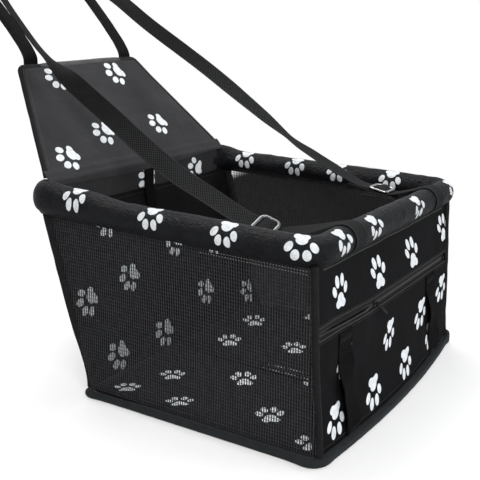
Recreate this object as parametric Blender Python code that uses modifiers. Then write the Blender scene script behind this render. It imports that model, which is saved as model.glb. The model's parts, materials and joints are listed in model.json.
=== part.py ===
# Folding dog car seat: a soft box with mesh sides on a stiff base, a tube rim in
# cloth sleeves, a board-stiffened flap above the back wall, two adjustable
# suspension straps that loop over a headrest and round the front rim, a zipped
# front pocket and an inner tether with a snap hook.
# Metres, +Z up, front towards -Y. Origin: middle of the underside of the base.

import math

import bmesh
import bpy
from mathutils import Matrix, Vector

for ob in list(bpy.data.objects):
    bpy.data.objects.remove(ob, do_unlink=True)

# ---------------------------------------------------------------- dimensions
GAP = 0.0003                     # between pieces that touch

# base
BASE_HALF_X = 0.2035             # inside of the welt
BASE_HALF_Y = 0.1525
WELT_W = 0.0100                  # how far the welt stands out
WELT_H = 0.0090
WELT_R = 0.0200                  # outer corner radius
BASE_FLARE = 0.225               # the base is wider at the front: part of its width lost a metre towards the back
BASE_BOW = 0.0140                # how far the middle of its front edge stands out
FOOT_H = 0.0750                  # the front wall curves out to that edge below this height
UNDER_T = 0.0012
BOARD_T = 0.0030
PAD_T = 0.0040

# rim
RIM_HALF_X = 0.2000              # tube axis to middle
RIM_FRONT = (-0.1465, 0.2190)    # y, z of the front tube's axis
RIM_BACK = (0.2267, 0.2355)      # y, z of the back tube's axis
TUBE_R, TUBE_WALL = 0.0100, 0.0020
ELBOW_R, ELBOW_WALL = 0.0122, 0.0018
ELBOW_BEND = 0.0260
ELBOW_SOCKET = 0.0120
SLEEVE_R, SLEEVE_WALL = 0.0155, 0.0013

# walls
WALL_T = 0.0012
WALL_BOTTOM_HALF_X = 0.2045
WALL_TOP_HALF_X = 0.2000
FRONT_BOTTOM_Y = -0.1535
BACK_BOTTOM_Y = 0.1540
BACK_TOP_Y = 0.2140
BIND = 0.0070                    # corner binding, square section

# front wall, in its own leaning frame: h up the wall, d into the seat
FRONT_H = 0.1935
POCKET_TOP_H = 0.1080
UPPER_BOTTOM_H = 0.1265
ZIP_H = 0.1170
ZIP_HALF = 0.1935
SLIDER_X = -0.0480
STRIP_X = 0.1370                 # webbing strips on the pocket
STRIP_W = 0.0320

# flap
FOLD = (0.2140, 0.2572)          # y, z of the fold
FLAP_TOP = (0.3235, 0.3890)      # y, z of its top edge
FLAP_HALF_BOTTOM = 0.1920
FLAP_HALF_TOP = 0.1210
FLAP_START = 0.0050

# webbing
WEB_W, WEB_T = 0.0250, 0.0014
STRAP_X = 0.1240
STRAP_SEWN_X = 0.0980

# tether
TETHER_W, TETHER_T = 0.0200, 0.0016
FLOOR_Z = UNDER_T + GAP + BOARD_T + GAP + PAD_T   # top of the floor pad

rim_tilt = math.atan2(RIM_BACK[1] - RIM_FRONT[1], RIM_BACK[0] - RIM_FRONT[0])
rim_depth = math.hypot(RIM_BACK[1] - RIM_FRONT[1], RIM_BACK[0] - RIM_FRONT[0])

# ------------------------------------------------------------------ helpers
parts = bpy.data.collections.new("dog_car_seat")
cutters = bpy.data.collections.new("cutters")
bpy.context.scene.collection.children.link(parts)
bpy.context.scene.collection.children.link(cutters)


def material(name, color, roughness, metallic=0.0):
    m = bpy.data.materials.new(name)
    m.use_nodes = True
    b = m.node_tree.nodes["Principled BSDF"]
    b.inputs["Base Color"].default_value = (*color, 1.0)
    b.inputs["Roughness"].default_value = roughness
    b.inputs["Metallic"].default_value = metallic
    return m


OXFORD = material("oxford_cloth", (0.020, 0.020, 0.023), 0.80)
FLAP_CLOTH = material("flap_cloth", (0.045, 0.045, 0.048), 0.80)
MESH = material("mesh_cloth", (0.018, 0.018, 0.020), 0.85)
WEBBING = material("webbing", (0.012, 0.012, 0.012), 0.70)
BINDING = material("binding_tape", (0.010, 0.010, 0.011), 0.75)
BOARD = material("board", (0.55, 0.50, 0.42), 0.80)
PVC = material("pvc_tube", (0.80, 0.80, 0.78), 0.40)
ZIP = material("zip", (0.012, 0.012, 0.013), 0.55)
BUCKLE = material("adjuster", (0.45, 0.46, 0.47), 0.30, 0.9)
STEEL = material("hook_metal", (0.55, 0.56, 0.58), 0.28, 1.0)


def place(ob, mat, parent=None, collection=parts):
    collection.objects.link(ob)
    ob.data.materials.append(mat)
    if parent is not None:
        ob.parent = parent
    return ob


def empty(name, location, rotation=(0, 0, 0), parent=None):
    e = bpy.data.objects.new(name, None)
    e.location = location
    e.rotation_euler = rotation
    e.empty_display_size = 0.02
    parts.objects.link(e)
    if parent is not None:
        e.parent = parent
    return e


def smooth(ob, angle=35):
    ob.data.shade_smooth()
    ob.data.set_sharp_from_angle(angle=math.radians(angle))


def box(name, low, high, mat, parent=None, bevel=0.0, collection=parts):
    me = bpy.data.meshes.new(name)
    bm = bmesh.new()
    bmesh.ops.create_cube(bm, size=1.0)
    lo, hi = Vector(low), Vector(high)
    bmesh.ops.scale(bm, vec=hi - lo, verts=bm.verts)
    bm.to_mesh(me)
    bm.free()
    ob = place(bpy.data.objects.new(name, me), mat, parent, collection)
    ob.location = (lo + hi) / 2
    if bevel:
        b = ob.modifiers.new("bevel", "BEVEL")
        b.width = bevel
        b.segments = 2
    return ob


def cylinder(name, start, end, radius, mat, parent=None, sides=16, collection=parts):
    a, b = Vector(start), Vector(end)
    me = bpy.data.meshes.new(name)
    bm = bmesh.new()
    bmesh.ops.create_cone(bm, cap_ends=True, segments=sides, radius1=radius, radius2=radius, depth=(b - a).length)
    bm.to_mesh(me)
    bm.free()
    ob = place(bpy.data.objects.new(name, me), mat, parent, collection)
    ob.location = (a + b) / 2
    ob.rotation_euler = (b - a).to_track_quat("Z", "Y").to_euler()
    smooth(ob)
    return ob


def plate(name, outlines, thickness, mat, parent=None):
    """A flat piece from 2D outlines, its middle plane at local z = 0."""
    cu = bpy.data.curves.new(name, "CURVE")
    cu.dimensions = "2D"
    cu.fill_mode = "BOTH"
    cu.extrude = thickness / 2
    for pts in outlines:
        sp = cu.splines.new("POLY")
        sp.points.add(len(pts) - 1)
        for p, (x, y) in zip(sp.points, pts):
            p.co = (x, y, 0, 1)
        sp.use_cyclic_u = True
    return place(bpy.data.objects.new(name, cu), mat, parent)


def to_mesh_object(ob, merge=0.00002):
    """Turns a curve object into a mesh object of the same name and place."""
    dg = bpy.context.evaluated_depsgraph_get()
    dg.update()
    me = bpy.data.meshes.new_from_object(ob.evaluated_get(dg))
    bm = bmesh.new()
    bm.from_mesh(me)
    bmesh.ops.remove_doubles(bm, verts=bm.verts, dist=merge)
    bm.to_mesh(me)
    bm.free()
    name, world, parent, basis = ob.name, ob.matrix_world.copy(), ob.parent, ob.matrix_basis.copy()
    coll = ob.users_collection[0]
    bpy.data.objects.remove(ob, do_unlink=True)
    new = bpy.data.objects.new(name, me)
    coll.objects.link(new)
    new.parent = parent
    new.matrix_basis = basis
    return new


def wire(name, pts, radius, mat, parent=None, resolution=4, caps=True, cyclic=False):
    cu = bpy.data.curves.new(name, "CURVE")
    cu.dimensions = "3D"
    cu.bevel_depth = radius
    cu.bevel_resolution = resolution
    cu.use_fill_caps = caps
    sp = cu.splines.new("POLY")
    sp.points.add(len(pts) - 1)
    for p, co in zip(sp.points, pts):
        p.co = (*co, 1)
    sp.use_cyclic_u = cyclic
    return place(bpy.data.objects.new(name, cu), mat, parent)


def pipe(name, pts, radius, wall, mat, parent=None, resolution=4):
    """A hollow tube: an open tube surface with Solidify going inwards."""
    ob = to_mesh_object(wire(name, pts, radius, mat, parent, resolution, caps=False))
    s = ob.modifiers.new("wall", "SOLIDIFY")
    s.thickness = wall
    s.offset = -1
    smooth(ob)
    return ob


def sheet_between(name, rows, thickness, mat, parent=None):
    """An open grid surface through rows of points, with Solidify about its middle."""
    me = bpy.data.meshes.new(name)
    bm = bmesh.new()
    grid = [[bm.verts.new(p) for p in row] for row in rows]
    for a, b in zip(grid, grid[1:]):
        for i in range(len(a) - 1):
            bm.faces.new((a[i], a[i + 1], b[i + 1], b[i]))
    bmesh.ops.recalc_face_normals(bm, faces=bm.faces)
    bm.to_mesh(me)
    bm.free()
    ob = place(bpy.data.objects.new(name, me), mat, parent)
    s = ob.modifiers.new("cloth", "SOLIDIFY")
    s.thickness = thickness
    s.offset = 0
    s.use_even_offset = True
    return ob


def cut(target, cutter, operation="DIFFERENCE"):
    cutter.hide_render = True
    cutter.display_type = "WIRE"
    m = target.modifiers.new("cut", "BOOLEAN")
    m.operation = operation
    m.object = cutter


def arc(cx, cy, r, a0, a1, n):
    return [(cx + r * math.cos(math.radians(a0 + (a1 - a0) * i / n)), cy + r * math.sin(math.radians(a0 + (a1 - a0) * i / n))) for i in range(n + 1)]


def rounded_rect(hx, hy, r, n=5):
    out = []
    for cx, cy, a in ((hx - r, hy - r, 0), (-hx + r, hy - r, 90), (-hx + r, -hy + r, 180), (hx - r, -hy + r, 270)):
        out += arc(cx, cy, r, a, a + 90, n)
    return out


def lerp(a, b, t):
    return a + (b - a) * t


def flare(y):
    """The base's width at y, against its nominal width."""
    return 1.0035 - BASE_FLARE * y


def bow(x):
    """How far the base's front edge stands out at x."""
    return BASE_BOW * max(0.0, 1 - (x / 0.2220) ** 2)


def base_outline(hx, hy, r):
    """A rounded rectangle in the base's plan: wider and bowed at the front."""
    pts = rounded_rect(hx, hy, r)
    i = next(k for k, (x, y) in enumerate(pts) if x > 0 and y < -hy + 1e-6)
    pts[i:i] = [(lerp(-hx + r, hx - r, k / 12), -hy) for k in range(1, 12)]
    return [(x * flare(y), y - bow(x * flare(y)) * min(1.0, max(0.0, (-y - 0.05) / 0.10))) for x, y in pts]


def catmull(points, step):
    """A smooth curve through points, sampled about every step metres."""
    pts = [Vector(p) for p in points]
    ext = [2 * pts[0] - pts[1]] + pts + [2 * pts[-1] - pts[-2]]
    out = []
    for i in range(1, len(ext) - 2):
        p0, p1, p2, p3 = ext[i - 1:i + 3]
        n = max(1, round((p2 - p1).length / step))
        for k in range(n):
            t = k / n
            out.append(0.5 * ((2 * p1) + (p2 - p0) * t + (2 * p0 - 5 * p1 + 4 * p2 - p3) * t * t + (3 * p1 - p0 - 3 * p2 + p3) * t ** 3))
    out.append(pts[-1])
    return out


def ribbon(name, pts, width, thickness, mat, parent=None):
    """Flat webbing along pts, its width across X."""
    h = Vector((width / 2, 0, 0))
    return sheet_between(name, [[p - h, p + h] for p in pts], thickness, mat, parent)


# --------------------------------------------------------------------- base
z = 0.0
under = plate("base_underside", [base_outline(BASE_HALF_X - GAP, BASE_HALF_Y - GAP, 0.0100)], UNDER_T, OXFORD)
under.location.z = z + UNDER_T / 2
z += UNDER_T + GAP
board = plate("base_board", [base_outline(BASE_HALF_X - 0.0010, BASE_HALF_Y - 0.0010, 0.0100)], BOARD_T, BOARD)
board.location.z = z + BOARD_T / 2
z += BOARD_T + GAP
pad = plate("floor_pad", [base_outline(BASE_HALF_X - GAP, BASE_HALF_Y - GAP, 0.0100)], PAD_T, OXFORD)
pad.location.z = z + PAD_T / 2
hem = plate("base_hem", [base_outline(BASE_HALF_X + WELT_W, BASE_HALF_Y + WELT_W, WELT_R), base_outline(BASE_HALF_X, BASE_HALF_Y, 0.0100)], WELT_H, BINDING)
hem.location.z = WELT_H / 2

# ---------------------------------------------------------------- side walls
wall_bottom_z = WELT_H + GAP


def rim_axis_z(y):
    return RIM_FRONT[1] + (y - RIM_FRONT[0]) * math.tan(rim_tilt)


def under_sleeve(y):
    return rim_axis_z(y) - (SLEEVE_R + 0.0005) / math.cos(rim_tilt)


# corner lines, from the welt to the underside of the sleeves
front_top_z = under_sleeve(RIM_FRONT[0]) - 0.0001
back_top_z = 0.2192
FRONT_HALF_X, BACK_HALF_X = WALL_BOTTOM_HALF_X * flare(FRONT_BOTTOM_Y), WALL_BOTTOM_HALF_X * flare(BACK_BOTTOM_Y)
CORNER_BOW = bow(FRONT_HALF_X)
for side, s in (("left", -1), ("right", 1)):
    for end, x0, y0, y1, z1 in (("front", FRONT_HALF_X, FRONT_BOTTOM_Y - CORNER_BOW, RIM_FRONT[0], front_top_z), ("back", BACK_HALF_X, BACK_BOTTOM_Y, BACK_TOP_Y - 0.004, under_sleeve(BACK_TOP_Y) - 0.0030)):
        a = Vector((s * x0, y0, wall_bottom_z))
        b = Vector((s * WALL_TOP_HALF_X, y1, z1))
        h = BIND / 2
        rows = [[p + Vector((-h, -h, 0)), p + Vector((h, -h, 0)), p + Vector((h, h, 0)), p + Vector((-h, h, 0))] for p in (a, b)]
        me = bpy.data.meshes.new("corner_binding")
        bm = bmesh.new()
        bmesh.ops.create_cube(bm, size=1.0)
        bm.verts.ensure_lookup_table()
        for v in bm.verts:
            row = rows[0] if v.co.z < 0 else rows[1]
            i = {(-1, -1): 0, (1, -1): 1, (1, 1): 2, (-1, 1): 3}[(1 if v.co.x > 0 else -1, 1 if v.co.y > 0 else -1)]
            v.co = row[i]
        bm.to_mesh(me)
        bm.free()
        place(bpy.data.objects.new(f"corner_binding_{end}_{side}", me), BINDING)
    # mesh wall between the two bindings
    clear = BIND / 2 + 2 * GAP
    bot = [Vector((s * lerp(FRONT_HALF_X, BACK_HALF_X, t), lerp(FRONT_BOTTOM_Y - CORNER_BOW + clear, BACK_BOTTOM_Y - clear, t), wall_bottom_z)) for t in (0, 0.25, 0.5, 0.75, 1)]
    ytop = (RIM_FRONT[0] + clear, BACK_TOP_Y - 0.004 - clear)
    top = [Vector((s * WALL_TOP_HALF_X, lerp(ytop[0], ytop[1], t), under_sleeve(lerp(ytop[0], ytop[1], t)))) for t in (0, 0.25, 0.5, 0.75, 1)]
    sheet_between(f"mesh_panel_{side}", [bot, top], WALL_T, MESH)

# ----------------------------------------------------------------- back wall
hb, ht = BACK_HALF_X - BIND / 2 - 0.0006, WALL_TOP_HALF_X - BIND / 2 - 0.0006
sheet_between("back_panel", [
    [Vector((lerp(-hb, hb, t), BACK_BOTTOM_Y, wall_bottom_z)) for t in (0, 0.5, 1)],
    [Vector((lerp(-ht, ht, t), BACK_TOP_Y, back_top_z)) for t in (0, 0.5, 1)],
], WALL_T, OXFORD)

# ---------------------------------------------------------------- front wall
lean = math.atan2(RIM_FRONT[0] - FRONT_BOTTOM_Y, front_top_z - wall_bottom_z)
front = empty("front_wall_frame", (0, FRONT_BOTTOM_Y, wall_bottom_z), (-lean, 0, 0))


def front_half(h):
    return lerp(FRONT_HALF_X, WALL_TOP_HALF_X, h / FRONT_H) - BIND / 2 - 0.0006


def foot(x, h):
    """How far the wall stands out at x and height h, to meet the bowed welt."""
    return bow(x) * max(0.0, 1 - h / FOOT_H) ** 2


def front_sheet(name, h0, h1, d, t, mat):
    """A piece of the front wall from height h0 to h1, from depth d to d + t, with its foot curved out."""
    heights = [h0] + [h for h in (0.012, 0.025, 0.040, 0.056, FOOT_H) if h0 < FOOT_H] + [h1]
    xs = [0, 0.125, 0.25, 0.375, 0.5, 0.625, 0.75, 0.875, 1] if h0 < FOOT_H else [0, 1]
    rows = [[Vector((x, d + t / 2 - foot(x, h), h)) for x in (lerp(-front_half(h), front_half(h), k) for k in xs)] for h in heights]
    return sheet_between(name, rows, t, mat, front)


lining = front_sheet("front_lining", 0, FRONT_H - 0.0002, 0.0040, 0.0010, OXFORD)
upper = front_sheet("front_upper_panel", UPPER_BOTTOM_H, FRONT_H - 0.0002, 0.0, 0.0010, OXFORD)
front_sheet("pocket_panel", 0, POCKET_TOP_H, 0.0, 0.0010, OXFORD)
# slits under the rim that let the straps round the tube
for s in (-1, 1):
    slit = box(f"strap_slit_{s}", (s * STRAP_X - WEB_W / 2 - 0.001, -0.002, FRONT_H - 0.0032), (s * STRAP_X + WEB_W / 2 + 0.001, 0.007, FRONT_H + 0.002), OXFORD, front, collection=cutters)
    cut(lining, slit)
    cut(upper, slit)

# zip
for name, h0, h1 in (("zip_tape_upper", ZIP_H + 0.0020, ZIP_H + 0.0130), ("zip_tape_lower", ZIP_H - 0.0130, ZIP_H - 0.0020)):
    box(name, (-ZIP_HALF, 0.0015, h0), (ZIP_HALF, 0.0022, h1), ZIP, front)
for name, h0, h1 in (("zip_coil_upper", ZIP_H + 0.0008, ZIP_H + 0.0017), ("zip_coil_lower", ZIP_H - 0.0017, ZIP_H - 0.0008)):
    box(name, (-ZIP_HALF, 0.0011, h0), (ZIP_HALF, 0.0026, h1), ZIP, front)
for name, x in (("zip_stop_left", -ZIP_HALF + 0.0020), ("zip_stop_right", ZIP_HALF - 0.0020)):
    box(name, (x - 0.0015, -0.0002, ZIP_H - 0.0022), (x + 0.0015, 0.0008, ZIP_H + 0.0022), STEEL, front)

# slider: two plates joined by a thin wedge between the coils, and a bridge for the puller
slider = empty("slider_frame", (SLIDER_X, 0, ZIP_H), parent=front)
body = box("zip_slider", (-0.0045, -0.0008, -0.0038), (0.0045, 0.0036, 0.0038), ZIP, slider, bevel=0.0004)
for i, (lo, hi) in enumerate((((-0.006, 0.0005, 0.0005), (0.006, 0.0029, 0.0060)), ((-0.006, 0.0005, -0.0060), (0.006, 0.0029, -0.0005)))):
    cut(body, box(f"slider_channel_{i}", lo, hi, ZIP, slider, collection=cutters))
for i, x in enumerate((-0.0031, 0.0031)):
    cut(body, box(f"slider_post_{i}", (x - 0.0006, -0.0039, -0.0009), (x + 0.0006, -0.0004, 0.0009), ZIP, slider, collection=cutters), "UNION")
cut(body, box("slider_bridge", (-0.0037, -0.0038, -0.0007), (0.0037, -0.0024, 0.0007), ZIP, slider, collection=cutters), "UNION")

# puller: an eye round the bridge and a tab that hangs from it
PULL_LEN = 0.0225
puller_frame = empty("puller_frame", (0, -0.0031, 0), parent=slider)
puller = box("zip_puller", (-0.0024, -0.00055, -PULL_LEN), (0.0024, 0.00055, -0.0014), ZIP, puller_frame, bevel=0.0003)
eye = cylinder("puller_eye", (-0.0019, 0, 0), (0.0019, 0, 0), 0.0020, ZIP, puller_frame, collection=cutters)
bore = cylinder("puller_bore", (-0.004, 0, 0), (0.004, 0, 0), 0.00125, ZIP, puller_frame, collection=cutters)
cut(puller, eye, "UNION")
cut(puller, bore)

# webbing strips over the pocket, sewn at both ends and loose between
for side, s in (("left", -1), ("right", 1)):
    prof = [(0.0008, 0.0), (0.004, 0.0010), (0.010, 0.0035), (0.022, 0.0075), (0.038, 0.0065), (0.052, 0.0080), (0.066, 0.0060), (0.078, 0.0025), (0.086, 0.0), (0.1070, 0.0)]
    line = catmull([Vector((s * STRIP_X, -(GAP + WEB_T / 2) - d - bow(s * STRIP_X + STRIP_W / 2 * -s) * max(0.0, 1 - h / FOOT_H) ** 2, h)) for h, d in prof], 0.006)
    ribbon(f"pocket_strap_{side}", line, STRIP_W, WEB_T, WEBBING, front)

# ---------------------------------------------------------------------- rim
rim = empty("rim_frame", (0, RIM_FRONT[0], RIM_FRONT[1]), (rim_tilt, 0, 0))
X, B, S = RIM_HALF_X, ELBOW_BEND, ELBOW_SOCKET
END = 0.0005                     # tube ends stop just inside the bend
pipe("rim_tube_front", [(-X + B + END, 0, 0), (X - B - END, 0, 0)], TUBE_R, TUBE_WALL, PVC, rim)
pipe("rim_tube_back", [(-X + B + END, rim_depth, 0), (X - B - END, rim_depth, 0)], TUBE_R, TUBE_WALL, PVC, rim)
for side, s in (("left", -1), ("right", 1)):
    pipe(f"rim_tube_{side}", [(s * X, B + END, 0), (s * X, rim_depth - B - END, 0)], TUBE_R, TUBE_WALL, PVC, rim)
    # elbows: socket, quarter bend, socket
    for end, y, e in (("front", 0.0, 1), ("back", rim_depth, -1)):
        cx, cy = s * (X - B), y + e * B
        bend = [(cx + s * B * math.sin(math.radians(a)), cy - e * B * math.cos(math.radians(a)), 0) for a in range(0, 91, 15)]
        pts = [(cx - s * S, y, 0)] + bend + [(s * X, cy + e * S, 0)]
        pipe(f"rim_elbow_{end}_{side}", pts, ELBOW_R, ELBOW_WALL, PVC, rim)

# sleeves: the front one turns both front corners, the side ones turn the back corners
SEAM_Y = B + 0.0020
corner = [(X - B + B * math.sin(math.radians(a)), B - B * math.cos(math.radians(a)), 0) for a in range(0, 91, 15)]
front_line = [(-x, y, 0) for x, y, _ in reversed(corner)] + corner
front_line = [(-X, SEAM_Y, 0)] + front_line + [(X, SEAM_Y, 0)]
pipe("rim_sleeve_front", front_line, SLEEVE_R, SLEEVE_WALL, OXFORD, rim, 5)
BACK_SLEEVE_HALF = X - B - 0.0050
for side, s in (("left", -1), ("right", 1)):
    cy = rim_depth - B
    bend = [(s * (X - B + B * math.cos(math.radians(a))), cy + B * math.sin(math.radians(a)), 0) for a in range(0, 91, 15)]
    line = [(s * X, SEAM_Y + 2 * GAP, 0), (s * X, 0.12, 0), (s * X, 0.24, 0)] + bend + [(s * (BACK_SLEEVE_HALF + GAP * 2), rim_depth, 0)]
    pipe(f"rim_sleeve_{side}", line, SLEEVE_R, SLEEVE_WALL, OXFORD, rim, 5)

# back sleeve: flat on the inside, round behind, open at both ends
by, top_z, bot_z = 0.2120, 0.2560, 0.2197
mid_z, half_h = (top_z + bot_z) / 2, (top_z - bot_z) / 2
depth, flat = 0.0300, 0.0120
section = [(by, mid_z), (by, top_z - 0.002), (by + 0.002, top_z)] + [(by + flat + (depth - flat) * math.sin(math.radians(a)), mid_z + half_h * math.cos(math.radians(a))) for a in range(0, 181, 15)] + [(by + 0.002, bot_z), (by, bot_z + 0.002)]
me = bpy.data.meshes.new("rim_sleeve_back")
bm = bmesh.new()
rings = [[bm.verts.new((x, py, pz)) for py, pz in section] for x in (-BACK_SLEEVE_HALF, BACK_SLEEVE_HALF)]
n = len(section)
for i in range(n):
    bm.faces.new((rings[0][i], rings[0][(i + 1) % n], rings[1][(i + 1) % n], rings[1][i]))
bmesh.ops.recalc_face_normals(bm, faces=bm.faces)
if sum((f.calc_center_median().y - 0.226) * f.normal.y for f in bm.faces) < 0:
    bmesh.ops.reverse_faces(bm, faces=bm.faces)
bm.to_mesh(me)
bm.free()
back_sleeve = place(bpy.data.objects.new("rim_sleeve_back", me), OXFORD)
sol = back_sleeve.modifiers.new("wall", "SOLIDIFY")
sol.thickness = SLEEVE_WALL
sol.offset = -1

# --------------------------------------------------------------------- flap
flap_len = math.hypot(FLAP_TOP[0] - FOLD[0], FLAP_TOP[1] - FOLD[1])
flap_pitch = math.atan2(FLAP_TOP[1] - FOLD[1], FLAP_TOP[0] - FOLD[0])
hinge = empty("flap_hinge_axis", (0, FOLD[0], FOLD[1]), (flap_pitch, 0, 0))


def flap_outline(inset, r_top):
    """Seen from the front, x across and y up the flap; the top corners are rounded."""
    s0, s1 = FLAP_START + inset, flap_len - inset
    slope = (FLAP_HALF_TOP - FLAP_HALF_BOTTOM) / flap_len
    side = inset * math.hypot(1, slope)
    hx = lambda s: FLAP_HALF_BOTTOM + slope * s - side
    pts = [(-hx(s0), s0), (hx(s0), s0)]
    tl = math.atan2(1, slope)                    # direction of the right edge
    turn = math.degrees(tl)
    d = r_top * math.tan(math.radians(180 - turn) / 2)
    # right top corner
    cxr = hx(s1) - d * 1.0
    ctr = (cxr, s1 - r_top)
    pts += arc(ctr[0], ctr[1], r_top, turn - 90, 90, 4)
    pts += [(-x, y) for x, y in reversed(arc(ctr[0], ctr[1], r_top, turn - 90, 90, 4))]
    return pts


T_COVER, T_FLAP_BOARD = 0.0009, 0.0025
t = 0.0
layers = []
for name, thick, inset, mat in (("flap_front_cover", T_COVER, 0.0060, FLAP_CLOTH), ("flap_board", T_FLAP_BOARD, 0.0068, BOARD), ("flap_back_cover", T_COVER, 0.0060, FLAP_CLOTH)):
    ob = plate(name, [flap_outline(inset, 0.0060)], thick, mat, hinge)
    ob.location.z = -(0.0002 + t + thick / 2)
    t += thick + GAP
ring = plate("flap_binding", [flap_outline(0.0, 0.0120), flap_outline(0.0060 - GAP, 0.0063)], 0.0052, BINDING, hinge)
ring.location.z = -0.0026

# ---------------------------------------------------------- suspension straps
u = Vector((0, FLAP_TOP[0] - FOLD[0], FLAP_TOP[1] - FOLD[1])) / flap_len
nrm = Vector((0, -u.z, u.y))                                     # out of the flap's front
UP = Vector((0, 0.576, 0.804)).normalized()
WRAP_R = SLEEVE_R + 0.0006 + WEB_T / 2

# adjuster, in its own frame: x across the strap, y along it, z out of it
ADJ_HX, ADJ_HY, ADJ_T = 0.0170, 0.0140, 0.0026
SLOT_HX = WEB_W / 2 + 0.0012
BAR_C, SLOT = 0.0025, 0.0072

for side, s in (("left", -1), ("right", 1)):
    if side == "left":
        top, adj = Vector((0, 0.4120, 0.5140)), Vector((0, -0.0460, 0.2185))
        run = [(0.355, 0.4610), (0.306, 0.4120), (0.272, 0.3870), (0.234, 0.3620), (0.179, 0.3280), (0.135, 0.3000), (0.096, 0.2765), (0.067, 0.2620), (0.030, 0.2465)]
        slope, tilt, rolls = 0.34, 28, [(0.400, -12), (0.360, -22), (0.310, -22), (0.285, -18), (0.270, 0), (0.252, 34), (0.236, 46), (0.160, 50), (0.100, 46), (0.050, 36), (0.010, 30), (-0.012, 28)]
    else:
        top, adj = Vector((0, 0.4275, 0.5365)), Vector((0, -0.0830, 0.2275))
        run = [(0.375, 0.5000), (0.331, 0.4720), (0.282, 0.4380), (0.188, 0.3790), (0.115, 0.3290), (0.052, 0.2850), (0.020, 0.2670), (-0.010, 0.2510)]
        slope, tilt, rolls = 0.20, 0, [(0.400, 10), (0.370, 26), (0.250, 30), (0.150, 26), (0.090, 10), (0.056, -10), (0.030, 2), (-0.010, 6), (-0.045, 0)]
    along = Vector((0, 1, slope)).normalized()                    # from the rim towards the headrest
    out = Vector((0, -along.z, along.y))
    # the adjuster and the webbing in it lie turned about the strap's own line
    ct, st = math.cos(math.radians(tilt)), math.sin(math.radians(tilt))
    out_t = Vector((-st, out.y * ct, out.z * ct))

    def X_at(y):
        """Across: from the headrest out to the adjuster's line."""
        k = min(1.0, max(0.0, (y - adj.y - 0.034) / (top.y - 0.014 - adj.y - 0.034)))
        return s * lerp(STRAP_X, STRAP_SEWN_X, k)

    def roll_at(y):
        """How far the webbing is turned about its own line, in degrees."""
        if y >= rolls[0][0]:
            return rolls[0][1] * max(0.0, 1 - (y - rolls[0][0]) / 0.03)
        for (a, ra), (b, rb) in zip(rolls, rolls[1:]):
            if y >= b:
                return lerp(rb, ra, (y - b) / (a - b))
        return rolls[-1][1]

    # behind the flap, then up to the headrest
    back_t = -(0.0052 + 0.0004 + WEB_T / 2)
    fold0 = Vector((0, FOLD[0], FOLD[1]))
    sewn = [fold0 + u * sl + nrm * back_t for sl in (flap_len - 0.028, flap_len - 0.014, flap_len + 0.003)]
    rise = [sewn[-1].lerp(top + Vector((0, 0.0085, -0.012)), k) - Vector((0, lean_y, 0)) for k, lean_y in ((0.05, 0.0055), (0.10, 0.0090), (0.2, 0.0115), (0.4, 0.0110), (0.6, 0.0085), (0.8, 0.0045), (1.0, 0.0))]
    path = [(Vector((s * STRAP_SEWN_X, p.y, p.z)), 0) for p in sewn + rise]
    # over the headrest post: a short flat top
    turn = [top + Vector((0, 0.0075, -0.0045)), top + Vector((0, 0.0045, -0.0008)), top, top + Vector((0, -0.0055, 0)), top + Vector((0, -0.0095, -0.0015)), top + Vector((0, -0.0140, -0.0050))]
    turn[1].z = top.z
    path += [(Vector((s * STRAP_SEWN_X, p.y, p.z)), 0) for p in turn]
    # down to the adjuster, over its middle bar and on to the front rim
    mid = Vector((s * STRAP_X, 0, 0)) + adj
    lead = [mid + along * 0.034 - out_t * 0.0023, mid + along * 0.0165 - out_t * 0.0023]
    down = catmull([path[-1][0]] + [Vector((X_at(a), a, b)) for a, b in run] + lead, 0.014)[1:]
    path += [(p, roll_at(p.y)) for p in down]
    weave = [mid + along * d + out_t * h for d, h in ((0.0100, -0.0023), (0.0082, -0.0012), (0.0050, 0.0018), (0.0036, 0.0023), (-0.0036, 0.0023), (-0.0050, 0.0018), (-0.0082, -0.0012), (-0.0100, -0.0023), (-0.0165, -0.0023))]
    rim_c = Vector((s * STRAP_X, RIM_FRONT[0], RIM_FRONT[1]))
    wrap = [rim_c + Vector((0, WRAP_R * math.cos(math.radians(a)), WRAP_R * math.sin(math.radians(a)))) for a in range(70, 271, 20)]
    low0 = rim_c + Vector((0, 0.0105, -WRAP_R + 0.0002))
    # the layer below: back from under the tube, past the adjuster, to the sewn tail
    under_pts = [mid - along * 0.020 - out_t * 0.0052, mid - out_t * 0.0052, mid + along * 0.020 - out_t * 0.0048]
    tail_end = mid + along * 0.046 - out_t * 0.0042
    mid_low = low0.lerp(under_pts[0], 0.5) + Vector((0, 0, -0.0030))
    back_run = catmull([wrap[-1], low0, mid_low] + under_pts + [tail_end], 0.010)[1:]
    to_rim = catmull([weave[-1], weave[-1].lerp(wrap[0], 0.5) + Vector((0, 0, -0.0010)), wrap[0]], 0.010)[1:-1]
    path += [(p, tilt) for p in weave]
    path += [(p, tilt * (1 - (i + 1) / (len(to_rim) + 1))) for i, p in enumerate(to_rim)]
    path += [(p, 0) for p in wrap]
    path += [(p, tilt * min(1.0, max(0.0, (p.y - rim_c.y - 0.012) / (under_pts[0].y - rim_c.y - 0.012)))) for p in back_run]
    rows = []
    for i, (p, roll) in enumerate(path):
        t = path[max(i - 1, 0)][0] - path[min(i + 1, len(path) - 1)][0]
        if roll:
            face = Vector((0, -t.z, t.y)).normalized()
            face *= 1 if face.dot(out) > 0 else -1
            if any(p is q for q in weave + under_pts):
                face = out
            h = Vector((math.cos(math.radians(roll)), 0, 0)) + face * math.sin(math.radians(roll))
        else:
            h = Vector((1, 0, 0))
        rows.append([p - h * WEB_W / 2, p + h * WEB_W / 2])
    sheet_between(f"suspension_strap_{side}", rows, WEB_T, WEBBING)

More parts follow.
